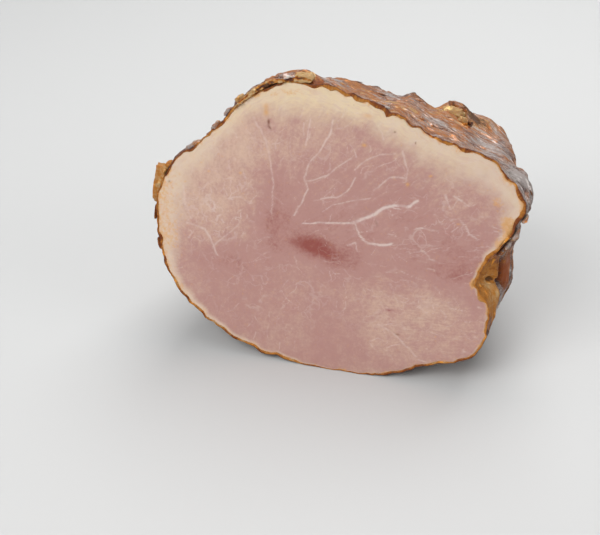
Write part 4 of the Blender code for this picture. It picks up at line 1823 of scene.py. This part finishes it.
    def build(
        self, material: bpy.types.Material, rim: Array, walls: Array, stains_by_clock: Array
    ) -> bpy.types.Object:
        """Builds the meat.

        Args:
            material: Its finish.
            rim: The rind's rim.
            walls: The rind's thickness there.
            stains_by_clock: How far the rind stains the meat beside it: clock angles and millimetres.

        Returns:
            The piece.
        """
        places = self.grid_places(rim, walls)
        edge = np.concatenate((places[0, :-1], places[:-1, -1], places[-1, :0:-1], places[:0:-1, 0]))
        flat = places.reshape(-1, 2)
        edge_distance = np.full(len(flat), 1e9)
        for point in edge[::3]:
            np.minimum(edge_distance, np.sum((flat - point) ** 2, axis=1), out=edge_distance)
        edge_distance = np.sqrt(edge_distance).reshape(places.shape[:-1]) / MM
        masks = self.masks(places, edge_distance, stains_by_clock)
        solid = np.stack((places[..., 0], np.zeros(places.shape[:-1]), places[..., 1]), axis=-1)
        depth = 0.30 * MM * noise_at(solid, 0.028, 12.0) + 0.10 * MM * noise_at(
            solid, (0.020, 1.0, 0.004), 13.0
        )
        depth += 0.9 * MM * (
            1 - smooth_step(edge_distance, 0.0, 1.6)
        ) + 0.12 * MM * masks["vein"] + 0.7 * MM * masks["nick"] ** 2
        solid[..., 1] = np.maximum(depth, -0.3 * MM)
        form = bmesh.new()
        bmesh.ops.create_grid(form, x_segments=self.squares, y_segments=self.squares, size=1.0)
        for vert, place in zip(form.verts, self.form.to_part(solid).reshape(-1, 3).tolist()):
            vert.co = place
        self.close_back(form)
        bmesh.ops.recalc_face_normals(form, faces=form.faces[:])
        for parts in (form.edges, form.faces):
            ordered = sorted(parts, key=lambda part: sorted(vert.index for vert in part.verts))
            for number, part in enumerate(ordered):
                part.index = number
            parts.sort()
        mesh = saved(form, "ham_meat")
        extra = len(mesh.vertices) - masks["lean"].size
        for name, values in masks.items():
            flat = values.reshape((-1, *values.shape[2:]))
            paint(mesh, {name: np.concatenate((flat, np.zeros((extra, *flat.shape[1:]))))})
        return finish_piece(mesh, material, stands_for_ham=True)

    def close_back(self, form: bmesh.types.BMesh) -> None:
        """Extrudes the face's edge back inside the rind and closes it.

        Args:
            form: The mesh that holds only the cut face.
        """
        lean = math.radians(self.form.lean_back)
        ring_edges = [edge for edge in form.edges if edge.is_boundary]
        angles = {}
        for vert in (vert for edge in ring_edges for vert in edge.verts):
            x, y, z = vert.co - Vector(self.form.set_down)
            angles[vert] = math.atan2(z * math.cos(lean) + y * math.sin(lean), x)
        for turn in np.linspace(0.0, 0.55 * math.pi / 2, self.back_rows + 1)[1:]:
            share = np.cos(turn) ** self.form.profile_around_power
            depth = self.form.depth * np.sin(turn) ** self.form.profile_depth_power
            extruded = bmesh.ops.extrude_edge_only(form, edges=ring_edges)["geom"]
            ring_edges = [item for item in extruded if isinstance(item, bmesh.types.BMEdge)]
            ring = [item for item in extruded if isinstance(item, bmesh.types.BMVert)]
            next_angles = {}
            for vert in ring:
                neighbours = (edge.other_vert(vert) for edge in vert.link_edges)
                next_angles[vert] = next(angles[other] for other in neighbours if other in angles)
            angles = next_angles
            clock = np.array([angles[vert] for vert in ring])
            steps = np.full(len(ring), depth)
            inside = share * (1 - 0.30 * smooth_step(depth, 0.0, 0.06))
            places = self.form.to_part(self.form.plain_points(clock, inside * np.ones(len(ring)), steps))
            places[:, 2] = np.maximum(places[:, 2], 4.5 * MM)
            for vert, place in zip(ring, places.tolist()):
                vert.co = place
        bmesh.ops.contextual_create(form, geom=ring_edges)


# The floor, the light and the camera


@dataclass(frozen=True)
class Studio:
    """A pale floor, soft lights and the camera, in metres and degrees.

    Attributes:
        camera_at: Where the camera is.
        azimuth: How far it is turned to the right of the cut face's front.
        elevation: How far it looks down.
        lens: Its focal length in millimetres.
        sensor_width: Its sensor's width in millimetres.
        floor_half_width: Half the floor's width.
        floor_colour: The floor's colour.
        floor_roughness: The floor's roughness.
        sky_colour: The colour of the light from all around.
        sky_strength: Its strength.
        sun_energy: The strength of the wide light from above.
        sun_angle: How wide that light is.
        sun_heads: The way that it shines.
        lamps: Name, place, width and power of each soft lamp.
        lamps_aim_at: Where they aim.
    """

    camera_at: Triple = (0.1317, -0.6847, 0.4960)
    azimuth: float = 14.0
    elevation: float = 34.0
    lens: float = 63.0
    sensor_width: float = 36.0
    floor_half_width: float = 6.0
    floor_colour: Colour = (0.56, 0.56, 0.56 * 0.99, 1.0)
    floor_roughness: float = 0.9
    sky_colour: Colour = (0.93, 0.965, 1.0, 1.0)
    sky_strength: float = 0.22
    sun_energy: float = 0.8
    sun_angle: float = 80.0
    sun_heads: Triple = (0.25, 0.35, -1.0)
    lamps: tuple[tuple[str, Triple, float, float], ...] = (
        ("key", (-0.9, -1.4, 1.5), 1.3, 26.0),
        ("over", (0.15, 0.75, 1.5), 1.1, 20.0),
        ("side", (1.6, -0.3, 0.9), 1.0, 6.0),
    )
    lamps_aim_at: Triple = (0.0, 0.0, 0.09)

    def build_floor(self) -> bpy.types.Object:
        """Lays the floor.

        Returns:
            The floor.
        """
        form = bmesh.new()
        bmesh.ops.create_grid(form, x_segments=1, y_segments=1, size=self.floor_half_width)
        material, sockets, recipe = start_material("pale_floor")
        recipe.put(sockets, {"Base Color": self.floor_colour, "Roughness": self.floor_roughness})
        floor = linked("floor", saved(form, "floor"))
        floor.data.materials.append(material)
        return floor

    def build_lights(self) -> None:
        """Hangs the soft lights and sets the sky."""
        world = bpy.data.worlds.new("studio")
        bpy.context.scene.world = world
        world.use_nodes = True
        background = world.node_tree.nodes["Background"]
        background.inputs["Color"].default_value = self.sky_colour
        background.inputs["Strength"].default_value = self.sky_strength
        sun = bpy.data.lights.new("sky", "SUN")
        sun.energy = self.sun_energy
        sun.angle = math.radians(self.sun_angle)
        self.place("sky", sun, (0.0, 0.0, 0.0), Vector(self.sun_heads))
        for name, at, size, power in self.lamps:
            light = bpy.data.lights.new(name, "AREA")
            light.size = size
            light.energy = power
            self.place(name, light, at, Vector(self.lamps_aim_at) - Vector(at))

    def build_camera(self) -> None:
        """Sets the camera where the picture was taken."""
        data = bpy.data.cameras.new("camera")
        data.sensor_width = self.sensor_width
        data.lens = self.lens
        turn, rise = math.radians(self.azimuth), math.radians(self.elevation)
        back = Vector((math.sin(turn) * math.cos(rise), -math.cos(turn) * math.cos(rise), math.sin(rise)))
        bpy.context.scene.camera = self.place("camera", data, self.camera_at, -back)

    def place(self, name: str, data: bpy.types.ID, at: Triple, heads: Vector) -> bpy.types.Object:
        """Puts a lamp or a camera in the scene.

        Args:
            name: Its name.
            data: The lamp or the camera.
            at: Where it goes.
            heads: The way that it looks.

        Returns:
            The linked object.
        """
        holder = linked(name, data)
        holder.location = at
        holder.rotation_mode = "QUATERNION"
        holder.rotation_quaternion = heads.to_track_quat("-Z", "Y")
        return holder


# The lifted tab, the torn fat and the bits along the rim


SIDE_TAB: tuple[Scrap, ...] = (
    Scrap(170.0, 6.0, 0.7, 13.5, 4.2, 4.0, 3.0, 0.0, (1.2, 0.68, 0.0, 0.3, 0.2), 0.86, 12.0),
    Scrap(165.5, 9.5, 0.3, 6.0, 4.0, 2.2, 8.0, 0.0, (0.9, 0.40, 0.2, 0.6, 0.2), 0.5, 8.0),
)
TORN_FAT: tuple[Scrap, ...] = (
    Scrap(50.6, 60.0, -1.2, 5.0, 5.4, 3.2, 15.0, 24.0, (1.3, 1.15, 0.0, 0.3, 0.0), 0.7),
    Scrap(48.2, 56.5, -1.3, 3.4, 4.4, 2.6, -25.0, 24.0, (1.3, 1.05, 0.0, 0.3, 0.0), 0.7),
    Scrap(53.6, 62.5, -1.0, 4.4, 2.8, 2.2, 25.0, 15.0, (1.3, 1.15, 0.0, 0.3, 0.0), 0.6),
    Scrap(46.6, 53.5, -0.8, 2.6, 2.6, 1.6, 40.0, 12.0, (1.2, 0.45, 0.1, 0.3, 0.0), 0.6),
    Scrap(56.8, 61.0, -0.5, 4.2, 1.6, 1.1, 12.0, 10.0, (1.2, 0.80, 0.1, 0.5, 0.0), 0.4),
    Scrap(44.5, 51.5, -0.4, 2.6, 1.6, 1.0, 30.0, 10.0, (1.0, 0.25, 0.1, 0.5, 0.0), 0.4),
    Scrap(51.5, 66.5, -0.6, 6.2, 2.4, 1.8, 8.0, 10.0, (0.0, 0.00, 0.5, 0.3, 0.2), 0.3),
    Scrap(46.2, 61.5, -0.4, 3.6, 3.0, 1.6, -30.0, 10.0, (0.0, 0.00, 0.6, 0.4, 0.2), 0.3),
)
RIM_BITS: tuple[Scrap, ...] = (
    Scrap(127.0, 1.8, 1.2, 3.4, 2.8, 2.2, 10.0, 15.0, (1.2, 0.85, 0.0, 0.3, 0.0), 0.4),
    Scrap(133.5, 2.2, 0.6, 3.6, 2.6, 1.4, 0.0, 10.0, (0.3, 0.20, 0.2, 0.6, 0.2), 0.3),
    Scrap(140.5, 2.6, 0.7, 4.2, 2.8, 1.5, 5.0, 10.0, (0.2, 0.20, 0.2, 0.5, 0.3), 0.3),
    Scrap(152.0, 3.4, 0.8, 7.0, 3.0, 1.6, 0.0, 10.0, (0.0, 0.10, 0.1, 0.2, 0.9), 0.2),
    Scrap(179.0, 1.6, 0.5, 5.6, 1.8, 0.55, 0.0, 20.0, (0.8, 0.10, 0.1, 0.6, 0.1), 0.2, -5.0),
    Scrap(189.6, 0.8, 0.5, 4.4, 1.6, 0.65, 0.0, 20.0, (0.8, 0.10, 0.1, 0.7, 0.1), 0.2, 7.0),
    Scrap(103.6, 2.0, 1.8, 2.4, 2.6, 1.7, 20.0, 16.0, (1.3, 1.35, 0.0, 0.3, 0.0), 0.5),
    Scrap(101.8, 3.0, 1.5, 2.2, 2.8, 2.2, -30.0, 10.0, (1.3, 1.25, 0.0, 0.3, 0.0), 0.6),
    Scrap(105.8, 2.6, 1.4, 2.0, 2.0, 1.4, 50.0, 8.0, (1.3, 0.90, 0.0, 0.3, 0.0), 0.5),
    Scrap(13.5, 3.6, 0.9, 3.4, 2.6, 1.2, 25.0, 20.0, (0.1, 0.10, 0.3, 0.6, 0.3), 0.2),
    Scrap(9.2, 3.0, 1.5, 4.0, 3.2, 1.6, 30.0, 30.0, (0.0, 0.10, 0.4, 0.5, 0.5), 0.2),
    Scrap(5.6, 5.0, 1.5, 3.6, 3.0, 1.4, -20.0, 30.0, (0.1, 0.10, 0.4, 0.7, 0.4), 0.2),
    Scrap(2.6, 9.0, 1.0, 4.0, 3.4, 1.5, 10.0, 15.0, (0.5, 0.20, 0.2, 0.8, 0.3), 0.2),
    Scrap(71.3, 0.4, 0.3, 2.0, 1.2, 0.8, 0.0, 0.0, (0.0, 0.30, 0.0, 0.1, 1.0), 0.3),
)


def loose_flakes(count: int) -> tuple[Scrap, ...]:
    """Scatters small flakes and curls of dried rind over the sides, the top and the back.

    Args:
        count: How many to make.

    Returns:
        The scraps.
    """
    dice = random.Random(5)
    flakes = []
    for _ in range(count):
        clock, depth = dice.uniform(-45, 215), 10 + 118 * dice.random() ** 1.2
        if 92 < clock < 130 and depth < 20:
            continue
        rust, ash_and_sheen = (0.10, -0.3) if dice.random() < 0.5 else (-0.2, 0.0)
        paint = (0.35 * dice.random() ** 3, 0.0, 0.30 * dice.random(), rust, ash_and_sheen)
        sizes = (dice.uniform(1.6, 4.6), dice.uniform(0.8, 1.8), dice.uniform(0.4, 0.8))
        flakes.append(
            Scrap(clock, depth, 0.0, *sizes, dice.uniform(-25, 25), dice.uniform(-6, 18), paint, 0.2)
        )
    return tuple(flakes)


def main() -> None:
    """Builds the ham and the studio, in order."""
    logging.basicConfig(level=logging.INFO, format="%(name)s: %(message)s")
    effects = Effects()
    form = HamForm()
    smoked, lifted, torn = (RindFinish(look).build(effects) for look in RindLook)
    shell = Rind(form)
    rind, rim, walls = shell.build(smoked)
    pieces = [
        rind,
        Meat(form).build(MeatFinish().build(effects), rim, walls, np.array(shell.stains_by_clock, float)),
        RindFold(form).build(lifted),
        Scraps(form, "ham_side_tab", SIDE_TAB).build(lifted),
        Scraps(form, "ham_torn_fat", TORN_FAT, breakup=1.5).build(torn),
        Scraps(form, "ham_rim_bits", RIM_BITS, cuts=5).build(lifted),
        Scraps(form, "ham_flakes", loose_flakes(60), cuts=4, breakup=0.7).build(smoked),
    ]
    for piece in pieces:
        LOG.info("%s: %d faces", piece.name, len(piece.data.polygons))
    studio = Studio()
    studio.build_floor()
    studio.build_lights()
    studio.build_camera()
    bpy.context.scene.view_settings.view_transform = "Standard"


if __name__ == "__main__":
    main()
